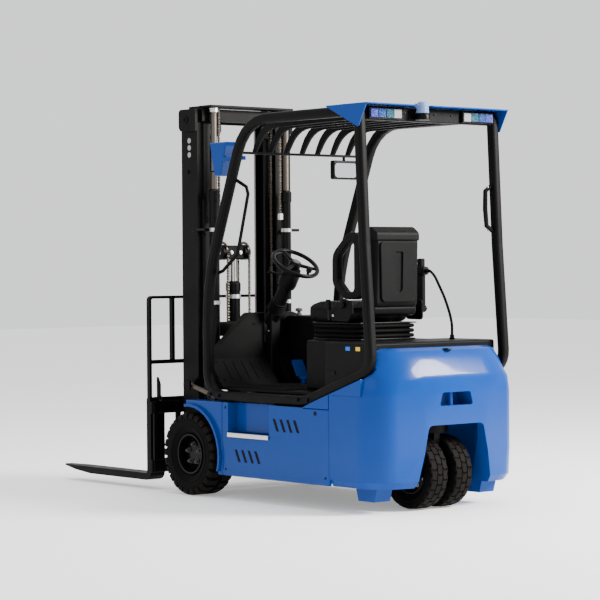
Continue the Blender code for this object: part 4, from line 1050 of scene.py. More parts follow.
# ------------------------------------------------------------------ bodywork
@dataclass
class Bodywork(Assembly):
    """Fenders, side panels, steps, counterweight and the frame under them."""

    half: float = 0.0
    keyhole: Pair = (1.066, 0.500)

    def build(self) -> None:
        """Make both sides, the rear casting and the underside."""
        self.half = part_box("side_panel_left")[1].x
        for side, word in SIDES:
            self.flank(side, word)
        self.rear()
        for node in ("chassis_frame", "battery_block"):
            self.refine(node, Coat.BLACK, 0.003)
        self.body = "chassis"
        self.refine("drive_axle", Coat.CAST, 0.004)

    def flank(self, side: int, word: str) -> None:
        """One side: fender, panel, step nosing and tread, lock and bolts.

        Args:
            side: 1 for the left, -1 for the right.
            word: The same as a word.
        """
        self.body = "chassis"
        self.refine(f"front_fender_{word}", Coat.BLUE, 0.0050, 26.0)
        self.refine(f"side_panel_{word}", Coat.BLUE, 0.0030, 30.0)
        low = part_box(f"side_panel_{word}")[0]
        out = RIGHT * side
        front = low.y - AXLE_Y
        step = (front + 0.055, front + 0.403)
        face = self.half + 0.0004
        strip = Bench.block((side * (self.half - 0.034), side * (face + 0.0052)), step, (0.3600, 0.3648), 0.0012)
        lip = Bench.block((side * (face + 0.0030), side * (face + 0.0052)), step, (0.3420, 0.3640), 0.0010)
        self.keep(Bench.fused([strip, lip]), f"step_nosing_{word}", Coat.ALUMINIUM)
        rib = Bench.block((side * (self.half - 0.150), side * (self.half - 0.040)), (step[0] + 0.012, step[0] + 0.020),
                          (0.3635, 0.3670), 0.0010, 1)
        self.keep(Bench.row(rib, 20, BACK * 0.0165), f"step_ribs_{word}", Coat.MAT)
        rise = [(0.960, 0.5264), (1.1715, 0.5264), (1.1715, 0.6030), (1.100, 0.5785), (1.020, 0.5500)]
        self.keep(Bench.plate(Axis.X, *sorted((side * 0.4900, side * self.half)), rise, 0.0020, 2),
                  f"sill_rise_{word}", Coat.BLUE)
        cheek = [(1.1775, 0.6006), (1.4210, 0.6006), (1.4210, 0.6880), (1.1775, 0.6050)]
        self.keep(Bench.plate(Axis.X, *sorted((side * 0.4500, side * self.half)), cheek, 0.0020, 2),
                  f"casting_cheek_{word}", Coat.BLUE)
        key_y, key_z = self.keyhole
        start = at(side * 0.7, key_y, key_z)
        foot = touch(f"side_panel_{word}", start, -out)
        ring = Bench.turned(foot, out, [(0.0060, -0.001), (0.0060, 0.0022), (0.0105, 0.0022), (0.0120, -0.001)], 24)
        plug = Bench.bar(foot - out * 0.004, foot + out * 0.0005, 0.0062, 20)
        self.keep(Bench.fused([ring, plug]), f"panel_lock_{word}", Coat.SMOOTH_BLACK)
        spots = [at(side * 0.7, y, z) for y, z in
                 ((front + 0.030, 0.500), (front + 0.030, 0.165), (1.145, 0.170))]
        self.keep(bolts(f"side_panel_{word}", spots, -out, 0.0065, 0.0030, True), f"panel_bolts_{word}",
                  Coat.SMOOTH_BLACK)
        for name, y, z in (("high", front + 0.438, 0.424), ("low", front + 0.112, 0.243)):
            screen = Bench.block((side * (self.half - 0.0200), side * (self.half - 0.0040)), (y - 0.030, y + 0.240),
                                 (z - 0.040, z + 0.040), 0.0)
            self.keep(screen, f"slot_screen_{name}_{word}", Coat.PLASTIC)

    def rear(self) -> None:
        """The cast counterweight, its tow pin head and lifting holes."""
        self.refine("counterweight", Coat.BLUE, 0.0060, 24.0)
        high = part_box("counterweight")[1]
        top = touch("counterweight", Vector((0, high.y - 0.075, 1.2)), -UP)
        head = Bench.turned(top, UP, [(0.012, -0.003), (0.012, 0.004), (0.022, 0.008), (0.024, 0.002), (0.024, -0.003)],
                            28)
        knob = Bench.bar(top - UP * 0.002, top + UP * 0.010, 0.0125, 20, 0.003)
        self.keep(Bench.fused([head, knob]), "tow_pin_head", Coat.SMOOTH_BLACK)
        pin = Bench.bar(Vector((0, high.y - 0.050, 0.530)), Vector((0, high.y - 0.050, 0.626)), 0.0110, 24, 0.001)
        self.keep(pin, "tow_pin_shank", Coat.WORN)


# ------------------------------------------------------------------ guard and lamps
@dataclass
class Guard(Assembly):
    """Overhead guard, visor, lamps, beacon, mirror and handles."""

    segments: int = 4

    def build(self) -> None:
        """Make everything above the sills."""
        for side, word in SIDES:
            self.refine(f"guard_loop_{word}", Coat.BLACK, 0.0075, 40.0)
            self.feet(side, word)
            self.rear_lamp(side, word)
        self.refine("roof_grille", Coat.BLACK, 0.0020, 30.0)
        self.refine("roof_visor", Coat.BLUE, 0.0022, 30.0)
        self.refine("grab_handle", Coat.PLASTIC, 0.0030, 30.0)
        self.refine("assist_bar", Coat.BLACK, 0.0015, 40.0)
        self.handle_pads()
        self.beacon()
        self.head_lamp()
        self.mirror()
        self.roof_bolts()

    def feet(self, side: int, word: str) -> None:
        """Foot plate bolts of one loop."""
        out = RIGHT * side
        start = [at(side * 0.9, y, z) for y, z in ((0.158, 0.566), (0.232, 0.560), (0.905, 0.566), (0.985, 0.566))]
        self.keep(bolts(f"guard_loop_{word}", start, -out, 0.0095, 0.0085), f"guard_foot_bolts_{word}", Coat.BLACK)

    def rear_lamp(self, side: int, word: str) -> None:
        """One rear lamp: a black housing and four lenses side by side."""
        node = f"rear_lamp_{word}"
        low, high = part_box(node)
        rear = high.y - AXLE_Y
        depth = (low.y - AXLE_Y, rear - 0.006)
        shell = Bench.block((low.x, high.x), depth, (low.z, high.z), 0.0040, 3)
        self.keep(shell, f"{node}_housing", Coat.SMOOTH_PLASTIC, replaces=[node])
        near, far = sorted((abs(low.x), abs(high.x)))
        width = (far - near - 0.012) / self.segments
        coats = (Coat.CLEAR_LENS, Coat.TEAL_LENS, Coat.BLUE_LENS, Coat.VIOLET_LENS)
        for k, coat in enumerate(coats):
            start = near + 0.006 + k * width
            span = (side * (start + 0.0010), side * (start + width - 0.0010))
            lens = Bench.block((min(span), max(span)), (rear - 0.0075, rear - 0.0004), (low.z + 0.006, high.z - 0.006),
                               0.0028, 3)
            self.keep(lens, f"{node}_{coat.name.lower()}", coat)

    def handle_pads(self) -> None:
        """Screws at the two ends of the grab handle."""
        low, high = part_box("grab_handle")
        for k, z in enumerate((low.z + 0.014, high.z - 0.014)):
            foot = touch("grab_handle", Vector((0.2, (low.y + high.y) / 2, z)), -RIGHT)
            self.keep(bolt(foot, RIGHT, 0.0060, 0.0035, True), f"grab_screw_{k + 1}", Coat.ZINC)

    def beacon(self) -> None:
        """The warning beacon: base, gasket, fluted dome and the lamp in it."""
        low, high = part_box("warning_beacon")
        centre = Vector(((low.x + high.x) / 2, (low.y + high.y) / 2, low.z))
        base_r = (high.x - low.x) / 2 - 0.0002
        tall = high.z - low.z
        base = Bench.turned(centre, UP, [(0, 0), (base_r, 0), (base_r, 0.022), (base_r - 0.0035, 0.030), (0, 0.030)],
                            40, closed=True)
        self.keep(base, "beacon_base", Coat.SMOOTH_PLASTIC, replaces=["warning_beacon"])
        ring = Bench.turned(centre, UP, [(base_r - 0.012, 0.0295), (base_r - 0.0045, 0.0295), (base_r - 0.0045, 0.0345),
                                         (base_r - 0.0060, 0.0355), (base_r - 0.012, 0.0355)], 40)
        self.keep(ring, "beacon_gasket", Coat.HOSE)
        dome = [(base_r - 0.0060, 0.0350), (base_r - 0.0080, tall * 0.72), (base_r - 0.0120, tall - 0.008),
                (base_r - 0.0190, tall - 0.0012), (0.004, tall - 0.0004), (0.004, tall - 0.0030),
                (base_r - 0.0200, tall - 0.0038), (base_r - 0.0145, tall - 0.010), (base_r - 0.0105, tall * 0.72),
                (base_r - 0.0085, 0.0352)]
        self.keep(Bench.turned(centre, UP, dome, 40), "beacon_dome", Coat.DOME)
        stem = Bench.bar(centre + UP * 0.030, centre + UP * (tall - 0.030), 0.0110, 20, 0.002)
        plate = Bench.block((centre.x - 0.016, centre.x + 0.016),
                            (centre.y - AXLE_Y - 0.002, centre.y - AXLE_Y + 0.002),
                            (centre.z + 0.034, centre.z + tall - 0.022), 0.0008, 1)
        self.keep(Bench.fused([stem, plate]), "beacon_lamp", Coat.ZINC)
        foot = touch("roof_visor", Vector((0.163, high.y - 0.02, 2.4)), -UP)
        self.keep(bolt(foot, UP, 0.0060, 0.0050), "visor_bolt", Coat.SMOOTH_BLACK)

    def head_lamp(self) -> None:
        """The front work lamp: blue housing, bezel and lens."""
        low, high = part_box("head_lamp_left")
        self.refine("head_lamp_left", Coat.BLUE, 0.0050, 24.0)
        y = low.y - AXLE_Y
        width = (low.x + 0.006, high.x - 0.006)
        height = (low.z + 0.028, high.z - 0.012)
        lens = Bench.block(width, (y - 0.0035, y + 0.006), height, 0.0030, 3)
        self.keep(lens, "head_lamp_lens", Coat.CLEAR_LENS)
        ring = Bench.block((low.x + 0.002, high.x - 0.002), (y - 0.0015, y + 0.008),
                           (height[0] - 0.004, height[1] + 0.004),
                           0.0015, 2)
        hole = Bench.block((width[0] + 0.002, width[1] - 0.002), (y - 0.02, y + 0.03),
                           (height[0] + 0.002, height[1] - 0.002))
        self.keep(Bench.carved(ring, [hole]), "head_lamp_bezel", Coat.SMOOTH_PLASTIC)

    def mirror(self) -> None:
        """The wide mirror under the roof: shell, glass and stem."""
        low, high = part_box("interior_mirror")
        self.refine("interior_mirror", Coat.SMOOTH_PLASTIC, 0.0030, 26.0)
        node = "interior_mirror"
        middle = Vector(((low.x + high.x) / 2, high.y + 0.2, low.z + 0.052))
        face = touch(node, middle, -BACK)
        wide = (high.x - low.x) / 2 - 0.010
        tall = 0.040
        outline = rounded([(face.x - wide, face.z - tall, 0.020), (face.x + wide, face.z - tall, 0.020),
                           (face.x + wide, face.z + tall, 0.020), (face.x - wide, face.z + tall, 0.020)], 6)
        depth = face.y - AXLE_Y
        glass = Bench.plate(Axis.Y, depth - 0.001, depth + 0.0012, outline, 0.0004, 1)
        for vertex in glass.data.vertices:
            vertex.co.y += 0.0016 * (1 - ((vertex.co.x - face.x) / wide) ** 2)
        self.keep(glass, "mirror_glass", Coat.GLASS)

    def roof_bolts(self) -> None:
        """Bolts that hold the visor and the bars to the frame."""
        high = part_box("roof_grille")[1]
        starts = [Vector((x, high.y + 0.3, high.z - 0.030)) for x in (-0.150, -0.030, 0.180)]
        self.keep(bolts("roof_grille", starts, -BACK, 0.0060, 0.0050), "beam_bolts", Coat.SMOOTH_BLACK)


# ------------------------------------------------------------------ driver's place
@dataclass
class Cab(Assembly):
    """Floor mat, cowl, console, pedal, column and steering wheel."""

    hub: Pair = (0.300, 1.278)
    lean: float = math.radians(34)

    def build(self) -> None:
        """Make the pieces round the driver's feet and hands."""
        self.floor()
        self.cowl()
        self.console()
        self.pedal()
        self.column()
        self.wheel()

    def floor(self) -> None:
        """The floor plate and its ribbed rubber mat."""
        self.refine("floor_plate", Coat.BLACK, 0.0015)
        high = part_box("floor_plate")[1]
        top = high.z + 0.0006
        sheet = Bench.block((-0.030, 0.434), (0.215, 0.725), (top, top + 0.0030), 0.0012, 1)
        rib = Bench.block((-0.026, 0.430), (0.222, 0.229), (top + 0.0026, top + 0.0056), 0.0014, 1)
        ribs = Bench.row(rib, 34, BACK * 0.0148)
        self.keep(Bench.fused([sheet, ribs]), "floor_mat", Coat.MAT)

    def cowl(self) -> None:
        """The moulded front cowl with its ridges and screws."""
        self.refine("front_cowl", Coat.PLASTIC, 0.0055, 26.0)
        ribs = []
        for k in range(5):
            x = 0.100 + k * 0.062
            low = touch("front_cowl", at(x, 0.6, 0.640), -BACK)
            high = touch("front_cowl", at(x, 0.6, 0.735), -BACK)
            if (high - low).length > 0.01:
                ribs.append(Bench.bar(low, high, 0.0050, 10, 0.0010))
        if ribs:
            self.keep(Bench.fused(ribs), "cowl_ridges", Coat.PLASTIC)
        starts = [at(x, 0.6, z) for x, z in ((0.405, 0.640), (0.405, 0.735), (0.120, 0.940), (-0.080, 0.960),
                                             (0.070, 0.790))]
        self.keep(bolts("front_cowl", starts, -BACK, 0.0065, 0.0030, True), "cowl_screws", Coat.SMOOTH_BLACK)

    def console(self) -> None:
        """The console's tray with its display, switches and brake knob."""
        middle = (-0.2825, 0.345)
        floor = touch("front_cowl", at(*middle, 1.3), -UP)
        shell = Bench.block((-0.345, -0.220), (0.300, 0.392), (floor.z, floor.z + 0.022), 0.0060, 3)
        self.keep(shell, "display_shell", Coat.SMOOTH_PLASTIC)
        glass = Bench.block((-0.333, -0.232), (0.312, 0.380), (floor.z + 0.0214, floor.z + 0.0228), 0.0006, 1)
        self.keep(glass, "display_glass", Coat.SCREEN)
        keys = []
        for k in range(4):
            x = -0.385 + k * 0.018
            keys.append(Bench.block((x, x + 0.013), (0.262, 0.282), (floor.z, floor.z + 0.012), 0.0022, 2))
        for k in range(3):
            x = -0.255 + k * 0.030
            keys.append(Bench.bar(at(x, 0.272, floor.z), at(x, 0.272, floor.z + 0.011), 0.0085, 20, 0.0018))
        self.keep(Bench.fused(keys), "console_switches", Coat.GREY_PLASTIC)
        lip_z = touch("front_cowl", at(-0.140, 0.300, 1.3), -UP).z
        stop = Bench.turned(at(-0.140, 0.160, lip_z), UP, [(0, 0), (0.016, 0), (0.016, 0.010), (0.010, 0.014),
                                                         (0.010, 0.022), (0.020, 0.026), (0.021, 0.034),
                                                         (0.015, 0.041), (0, 0.043)], 28)
        self.keep(stop, "stop_button", Coat.GREY_PLASTIC)

    def pedal(self) -> None:
        """The blue pedal and its pivot disc."""
        self.refine("accelerator_pedal", Coat.BLUE, 0.0025, 30.0)
        low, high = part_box("accelerator_pedal")
        foot = Vector((high.x + 0.0004, (low.y + high.y) / 2 + 0.012, low.z + 0.030))
        disc = Bench.bar(foot, foot + RIGHT * 0.012, 0.0180, 28, 0.002)
        self.keep(disc, "pedal_pivot", Coat.SMOOTH_BLACK)

    def column(self) -> None:
        """The steering column's mouldings, boot, lever and screws."""
        self.refine("steering_column", Coat.PLASTIC, 0.0045, 26.0)
        axis = Vector((0, math.sin(self.lean), math.cos(self.lean)))
        hub = at(0, *self.hub)
        boot = [(0.030, 0.000)]
        for k in range(6):
            low = 0.006 + k * 0.011
            wide = 0.0530 - k * 0.0012
            boot += [(wide - 0.007, low), (wide, low + 0.0035), (wide, low + 0.0055), (wide - 0.007, low + 0.009)]
        boot += [(0.030, 0.076)]
        self.keep(Bench.turned(hub - axis * 0.330, axis, boot, 36), "column_boot", Coat.HOSE)
        collar = Bench.turned(hub - axis * 0.150, axis, [(0.040, 0), (0.0500, 0.002), (0.0535, 0.020), (0.0515, 0.090),
                                                        (0.0440, 0.112), (0.030, 0.112), (0.030, 0)], 40)
        self.keep(collar, "column_shroud", Coat.PLASTIC)
        root = hub - axis * 0.075 + RIGHT * 0.048
        stalk = Bench.tube([root, root + RIGHT * 0.030 + axis * 0.004, root + RIGHT * 0.085 + axis * 0.016], 0.0048, 12)
        grip = Bench.bar(root + RIGHT * 0.080 + axis * 0.015, root + RIGHT * 0.122 + axis * 0.024, 0.0085, 16, 0.003,
                         0.0070)
        self.keep(Bench.fused([stalk, grip]), "direction_lever", Coat.SMOOTH_PLASTIC)
        screws = [bolt(touch("steering_column", at(0.2, y, z), -RIGHT), RIGHT, 0.0055, 0.0030, True)
                  for y, z in ((0.102, 0.700), (0.102, 0.900))]
        self.keep(Bench.fused(screws), "column_screws", Coat.ZINC)

    def wheel(self) -> None:
        """The steering wheel: rim, three spokes, cap and spinner knob."""
        axis = Vector((0, math.sin(self.lean), math.cos(self.lean)))
        aim = axis.to_track_quat("Z", "Y").to_matrix()
        hub = at(0, *self.hub)
        ring = [(0.1300 + 0.0118 * math.cos(2 * math.pi * k / 14), 0.0118 * math.sin(2 * math.pi * k / 14))
                for k in range(14)]
        parts = [Bench.turned(hub, axis, ring, 72)]
        parts.append(Bench.turned(hub, axis, [(0, -0.024), (0.030, -0.024), (0.034, -0.018), (0.034, 0.002),
                                              (0.028, 0.012), (0, 0.014)], 40))
        for angle in (0, 120, 240):
            turn = Matrix.Rotation(math.radians(angle + 90), 3, axis)
            reach = turn @ (aim @ Vector((0.126, 0, 0.0)))
            parts.append(Bench.bar(hub - axis * 0.006, hub + reach, 0.0115, 12, 0.0, 0.0080))
        self.keep(Bench.fused(parts), "steering_wheel_rim", Coat.SMOOTH_PLASTIC, "steering_wheel", ["steering_wheel"])
        cap = Bench.turned(hub + axis * 0.0135, axis,
                           [(0, 0), (0.021, 0), (0.021, 0.002), (0.016, 0.005), (0, 0.0055)], 36)
        self.keep(cap, "horn_cap", Coat.GREY_PLASTIC, "steering_wheel")
        foot = hub + aim @ Vector((0.0, -0.118, 0.010))
        knob = Bench.turned(foot, axis, [(0, 0), (0.008, 0), (0.008, 0.008), (0.0155, 0.014), (0.0165, 0.030),
                                         (0.0120, 0.040), (0, 0.042)], 32)
        self.keep(knob, "spinner_knob", Coat.SMOOTH_PLASTIC, "steering_wheel")


# ------------------------------------------------------------------ seat
@dataclass
class ControlCable(Assembly):
    """The armrest's cable, from its gland on the deck to the armrest's connector."""

    body: str = "hood"
    diameter: float = 0.015
    sides: int = 12

    def build(self) -> None:
        """Make the cable, its connector and its gland."""
        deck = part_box("battery_hood")[1].z
        route = [at(-0.275, 1.0704, 1.232), at(-0.275, 1.098, 1.232), at(-0.276, 1.135, 1.203),
                 at(-0.279, 1.168, 1.150), at(-0.284, 1.195, 1.100), at(-0.290, 1.217, 1.045),
                 at(-0.296, 1.233, 0.990), at(-0.300, 1.240, 0.945), at(-0.301, 1.240, 0.910),
                 at(-0.301, 1.240, 0.885), at(-0.301, 1.240, deck + 0.0004)]
        path = list(reversed(Bench.smooth(route, 4)))
        length = sum((b - a).length for a, b in zip(path, path[1:]))
        cable = Bench.tube(path, self.diameter / 2, self.sides, 1)
        self.keep(cable, "control_cable_sheath", Coat.HOSE, replaces=["control_cable"])
        end = path[-1]
        plug = Bench.turned(end + BACK * 0.026, -BACK, [(0.0078, 0), (0.0098, 0.002), (0.0110, 0.010), (0.0110, 0.018),
                                                       (0.0125, 0.0185), (0.0125, 0.0258), (0.0078, 0.0258)], 24)
        self.keep(plug, "cable_connector", Coat.SMOOTH_PLASTIC)
        foot = path[0]
        gland = Bench.turned(foot, UP, [(0.0078, 0.0002), (0.0160, 0.0002), (0.0160, 0.006), (0.0125, 0.008),
                                        (0.0115, 0.022), (0.0078, 0.026)], 24)
        self.keep(gland, "cable_gland", Coat.SMOOTH_PLASTIC)
        LOG.info("control cable: %.4f m", length)


@dataclass
class Seat(Assembly):
    """Bellows, padded cushion and back, shell, side loop and armrest."""

    body: str = "hood"
    voxel: float = 0.0055
    cap: float = 0.016

    def build(self) -> None:
        """Make the seat from the deck upwards."""
        self.bellows()
        self.cushion()
        self.back()
        self.sides()
        self.armrest()

    def bellows(self) -> None:
        """Three rubber folds between two steel pans."""
        low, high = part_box("seat_suspension")
        y0, y1 = low.y - AXLE_Y, high.y - AXLE_Y
        pan = Bench.block((low.x + 0.010, high.x - 0.010), (y0 + 0.006, y1 - 0.006), (low.z, low.z + 0.008), 0.002)
        lid = Bench.block((low.x + 0.004, high.x - 0.004), (y0 + 0.004, y1 - 0.004), (high.z - 0.007, high.z), 0.002)
        self.keep(Bench.fused([pan, lid]), "suspension_pans", Coat.SMOOTH_BLACK)
        room = (low.z + 0.0082, high.z - 0.0072)
        pitch = (room[1] - room[0]) / 3
        folds = []
        for k in range(3):
            base = room[0] + k * pitch
            for deep, z0, z1, edge in ((0.000, base + 0.0025, base + pitch - 0.0025, 0.0105),
                                       (0.016, base, base + pitch, 0.0010)):
                outline = rounded([(low.x + deep, y0 + deep, 0.045), (high.x - deep, y0 + deep, 0.045),
                                   (high.x - deep, y1 - deep, 0.045), (low.x + deep, y1 - deep, 0.045)], 6)
                folds.append(Bench.plate(Axis.Z, z0, z1, outline, edge, 4))
        self.keep(Bench.fused(folds), "suspension_bellows", Coat.HOSE, replaces=["seat_suspension"])

    def swell(self, obj: bpy.types.Object, pressure: float, box: tuple[Vector, Vector], name: str,
              coat: Coat, node: Optional[str]) -> bpy.types.Object:
        """Puff a closed shape up like a stuffed cover.

        Args:
            obj: The starting shape, slightly smaller than the finished pad.
            pressure: The cloth's inner pressure.
            box: The space the pad has to stay in.
            name: Its name.
            coat: Its finish.
            node: The frame node that it stands for.

        Returns:
            The finished pad.
        """
        Bench.only(obj)
        remesh = obj.modifiers.new("even", "REMESH")
        remesh.mode = "VOXEL"
        remesh.voxel_size = self.voxel
        bpy.ops.object.modifier_apply(modifier=remesh.name)
        before = [vertex.co.copy() for vertex in obj.data.vertices]
        cloth = obj.modifiers.new("puff", "CLOTH")
        cloth.settings.use_pressure = True
        cloth.settings.uniform_pressure_force = pressure
        cloth.settings.effector_weights.gravity = 0
        scene = bpy.context.scene
        for step in range(1, 21):
            scene.frame_set(step)
        Bench.only(obj)
        bpy.ops.object.modifier_apply(modifier=cloth.name)
        scene.frame_set(1)
        for vertex, start in zip(obj.data.vertices, before):
            shift = vertex.co - start
            if shift.length > self.cap:
                vertex.co = start + shift * (self.cap / shift.length)
        low, high = box
        for vertex in obj.data.vertices:
            vertex.co = Vector([min(max(c, a), b) for c, a, b in zip(vertex.co, low, high)])
        finer = obj.modifiers.new("finer", "SUBSURF")
        finer.levels = 1
        finer.render_levels = 1
        Bench.only(obj)
        bpy.ops.object.modifier_apply(modifier=finer.name)
        bpy.ops.object.shade_smooth()
        self.keep(obj, name, coat, replaces=[node] if node else [])
        return obj

    def seam(self, pad: bpy.types.Object, points: Sequence[Vector], radius: float, name: str,
             closed: bool = False) -> None:
        """Lay a piping or a sewn line on a pad.

        Args:
            pad: The pad.
            points: Places near its surface.
            radius: Half the line's width.
            name: Its name.
            closed: Whether the line comes back to its start.
        """
        corners = [vertex.co.copy() for vertex in pad.data.vertices]
        tree = BVHTree.FromPolygons(corners, [tuple(face.vertices) for face in pad.data.polygons])
        path = [tree.find_nearest(point)[0] for point in points]
        if closed:
            path.append(path[0])
        self.keep(Bench.tube(path, radius, 8, 1), name, Coat.VINYL)

    def cushion(self) -> None:
        """The seat cushion with its piping and two sewn channels."""
        low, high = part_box("seat_cushion")
        y0, y1 = low.y - AXLE_Y, high.y - AXLE_Y
        start = Bench.block((low.x + 0.016, high.x - 0.016), (y0 + 0.016, y1 - 0.014), (low.z + 0.004, high.z - 0.022),
                            0.030, 5)
        room = (Vector((low.x - 0.001, low.y - 0.002, low.z)), Vector((high.x + 0.001, high.y + 0.001, high.z + 0.001)))
        pad = self.swell(start, 4.0, room, "seat_cushion_cover", Coat.VINYL, "seat_cushion")
        ring = rounded([(low.x, y0, 0.060), (high.x, y0, 0.060), (high.x, y1, 0.060), (low.x, y1, 0.060)], 10)
        dense: list[Vector] = []
        for (u, v), (s, t) in zip(ring, ring[1:] + ring[:1]):
            for k in range(6):
                dense.append(at(u + (s - u) * k / 6, v + (t - v) * k / 6, high.z - 0.028))
        self.seam(pad, dense, 0.0030, "cushion_piping", True)
        for k, y in enumerate((y0 + 0.115, y0 + 0.235)):
            line = [at(low.x + 0.020 + (high.x - low.x - 0.040) * i / 40, y, high.z + 0.01) for i in range(41)]
            self.seam(pad, line, 0.0022, f"cushion_seam_{k + 1}")

    def back(self) -> None:
        """The padded front of the back, its hard shell, cap and document panel."""
        low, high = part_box("seat_back")
        half = high.x - 0.010
        shell = rounded([(1.078, 1.020, 0.010), (1.082, 0.990, 0.012), (1.138, 1.060, 0.060), (1.148, 1.400, 0.020),
                         (1.092, 1.404, 0.010)], 6)
        self.keep(Bench.plate(Axis.X, -half, half, shell, 0.016, 5), "seat_back_shell", Coat.PLASTIC,
                  replaces=["seat_back"])
        cap = rounded([(1.066, 1.392, 0.014), (1.1505, 1.392, 0.012), (1.1505, 1.438, 0.030), (1.092, 1.478, 0.030),
                       (1.058, 1.440, 0.026)], 7)
        self.keep(Bench.plate(Axis.X, low.x, high.x, cap, 0.030, 7), "seat_back_cap", Coat.PLASTIC)
        roll = rounded([(1.066, 0.988, 0.018), (1.118, 1.004, 0.020), (1.130, 1.052, 0.022), (1.080, 1.060, 0.020)], 6)
        self.keep(Bench.plate(Axis.X, low.x + 0.004, high.x - 0.004, roll, 0.012, 4), "seat_back_roll", Coat.PLASTIC)
        pad = Bench.block((low.x + 0.014, high.x - 0.014), (1.036, 1.082), (1.012, 1.440), 0.020, 4)
        room = (at(low.x + 0.001, 1.0215, 0.986), at(high.x - 0.001, 1.100, 1.462))
        made = self.swell(pad, 3.0, room, "seat_back_pad", Coat.VINYL, None)
        for k, x in enumerate((-0.070, 0.070)):
            line = [at(x, 1.0, 1.030 + 0.390 * i / 40) for i in range(41)]
            self.seam(made, line, 0.0020, f"back_seam_{k + 1}")
        self.document_panel(half)

    def document_panel(self, half: float) -> None:
        """The raised panel on the rear of the shell, with its U-shaped pocket."""
        wide = half - 0.014

        def face(z: float) -> float:
            """Return the shell's rear at a height."""
            return 1.138 + (z - 1.060) * (0.010 / 0.340)

        outline = rounded([(-wide + 0.014, 1.070, 0.030), (wide - 0.014, 1.070, 0.030), (wide, 1.388, 0.020),
                           (-wide, 1.388, 0.020)], 7)
        plate = Bench.plate(Axis.Y, -0.004, 0.0110, outline)
        groove = rounded([(-0.027, 1.120, 0.0265), (0.027, 1.120, 0.0265), (0.027, 1.335, 0.006), (-0.027, 1.335, 0.006)],
                         8)
        cutter = Bench.plate(Axis.Y, 0.0015, 0.05, groove)
        plate = Bench.soften(Bench.carved(plate, [cutter]), 0.0030, 3)
        for vertex in plate.data.vertices:
            vertex.co.y += face(vertex.co.z)
        self.keep(plate, "rear_panel", Coat.PLASTIC)
        vents = []
        for x in (-0.062, 0.062):
            outline = rounded([(x - 0.014, 1.4350, 0.0055), (x + 0.014, 1.4350, 0.0055), (x + 0.014, 1.4480, 0.0055),
                               (x - 0.014, 1.4480, 0.0055)], 5)
            vents.append(Bench.plate(Axis.Y, 1.130, 1.1440, outline, 0.0010, 1))
        self.keep(Bench.fused(vents), "cap_vents", Coat.SMOOTH_PLASTIC)

    def sides(self) -> None:
        """The side restraint, the left side cover, its knob and its screw."""
        self.refine("seat_side_loop_left", Coat.PLASTIC, 0.0100, 40.0)
        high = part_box("seat_cushion")[1]
        x = high.x + 0.0020
        cover = rounded([(0.880, 0.972, 0.020), (1.030, 0.968, 0.018), (1.066, 1.010, 0.020), (1.066, 1.075, 0.020),
                         (0.985, 1.092, 0.030), (0.900, 1.020, 0.030)], 6)
        self.keep(Bench.plate(Axis.X, x, x + 0.014, cover, 0.0045, 3), "seat_side_cover", Coat.PLASTIC)
        centre = at(x + 0.0138, 0.994, 1.058)
        knob = Bench.turned(centre, RIGHT, [(0, 0), (0.020, 0), (0.020, 0.010), (0.016, 0.015), (0, 0.016)], 32)
        self.keep(knob, "recliner_knob", Coat.SMOOTH_PLASTIC)
        self.keep(bolt(at(x + 0.0138, 0.915, 1.000), RIGHT, 0.0070, 0.0040, True), "side_cover_screw", Coat.ZINC)
        hinge = Bench.plate(Axis.X, -0.2440 - 0.012, -0.2440 + 0.002, rounded(
            [(0.930, 0.972, 0.018), (1.066, 0.970, 0.018), (1.066, 1.080, 0.022), (0.985, 1.090, 0.030)], 6), 0.004, 3)
        self.keep(hinge, "seat_hinge_cover", Coat.PLASTIC)
        buckle = Bench.block((0.2560, 0.2720), (0.870, 0.900), (1.030, 1.085), 0.0050, 3)
        self.keep(buckle, "belt_buckle", Coat.SMOOTH_PLASTIC)
        stalk = Bench.block((0.2600, 0.2660), (0.880, 0.896), (0.975, 1.034), 0.0015, 1)
        self.keep(stalk, "belt_stalk", Coat.SMOOTH_BLACK)

    def armrest(self) -> None:
        """The armrest with its pad, finger levers and adjuster knob."""
        self.refine("control_armrest", Coat.PLASTIC, 0.0035, 30.0)
        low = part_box("control_armrest")[0]
        pad = Bench.block((low.x + 0.003, low.x + 0.047), (0.905, 1.000), (1.2565, 1.266), 0.0050, 4)
        self.keep(pad, "armrest_pad", Coat.VINYL)
        sticks = []
        for k in range(3):
            x = low.x + 0.010 + k * 0.0145
            sticks.append(Bench.bar(at(x, 0.830, 1.256), at(x, 0.826, 1.276), 0.0028, 12, 0.0004))
            sticks.append(Bench.turned(at(x, 0.8255, 1.274), UP, [(0, 0), (0.0050, 0.001), (0.0066, 0.008),
                                                                (0.0058, 0.015), (0, 0.017)], 20))
        self.keep(Bench.fused(sticks), "finger_levers", Coat.SMOOTH_PLASTIC)
        knob = Bench.turned(at(low.x + 0.008, 1.020, 1.030), -RIGHT, [(0, 0), (0.015, 0), (0.017, 0.004), (0.017, 0.018),
                                                                   (0.013, 0.023), (0, 0.024)], 24)
        self.keep(knob, "armrest_knob", Coat.SMOOTH_PLASTIC)


@dataclass
class Deck(Assembly):
    """The battery hood with its seams, latch and two blank labels."""

    body: str = "hood"

    def build(self) -> None:
        """Make the hood's skin and what is on it."""
        self.refine("battery_hood", Coat.PLASTIC, 0.0055, 26.0)
        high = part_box("battery_hood")[1]
        latch = Bench.block((high.x - 0.0005, high.x + 0.0040), (1.090, 1.150), (0.700, 0.722), 0.0018, 2)
        self.keep(latch, "hood_latch", Coat.SMOOTH_PLASTIC)
        side = high.x + 0.0002
        for k, (y, coat) in enumerate(((1.232, Coat.BLUE_MARK), (1.310, Coat.YELLOW_MARK))):
            label = Bench.block((side, side + 0.0006), (y, y + 0.034), (0.8280, 0.8480), 0.0)
            self.keep(label, f"blank_label_{k + 1}", coat)


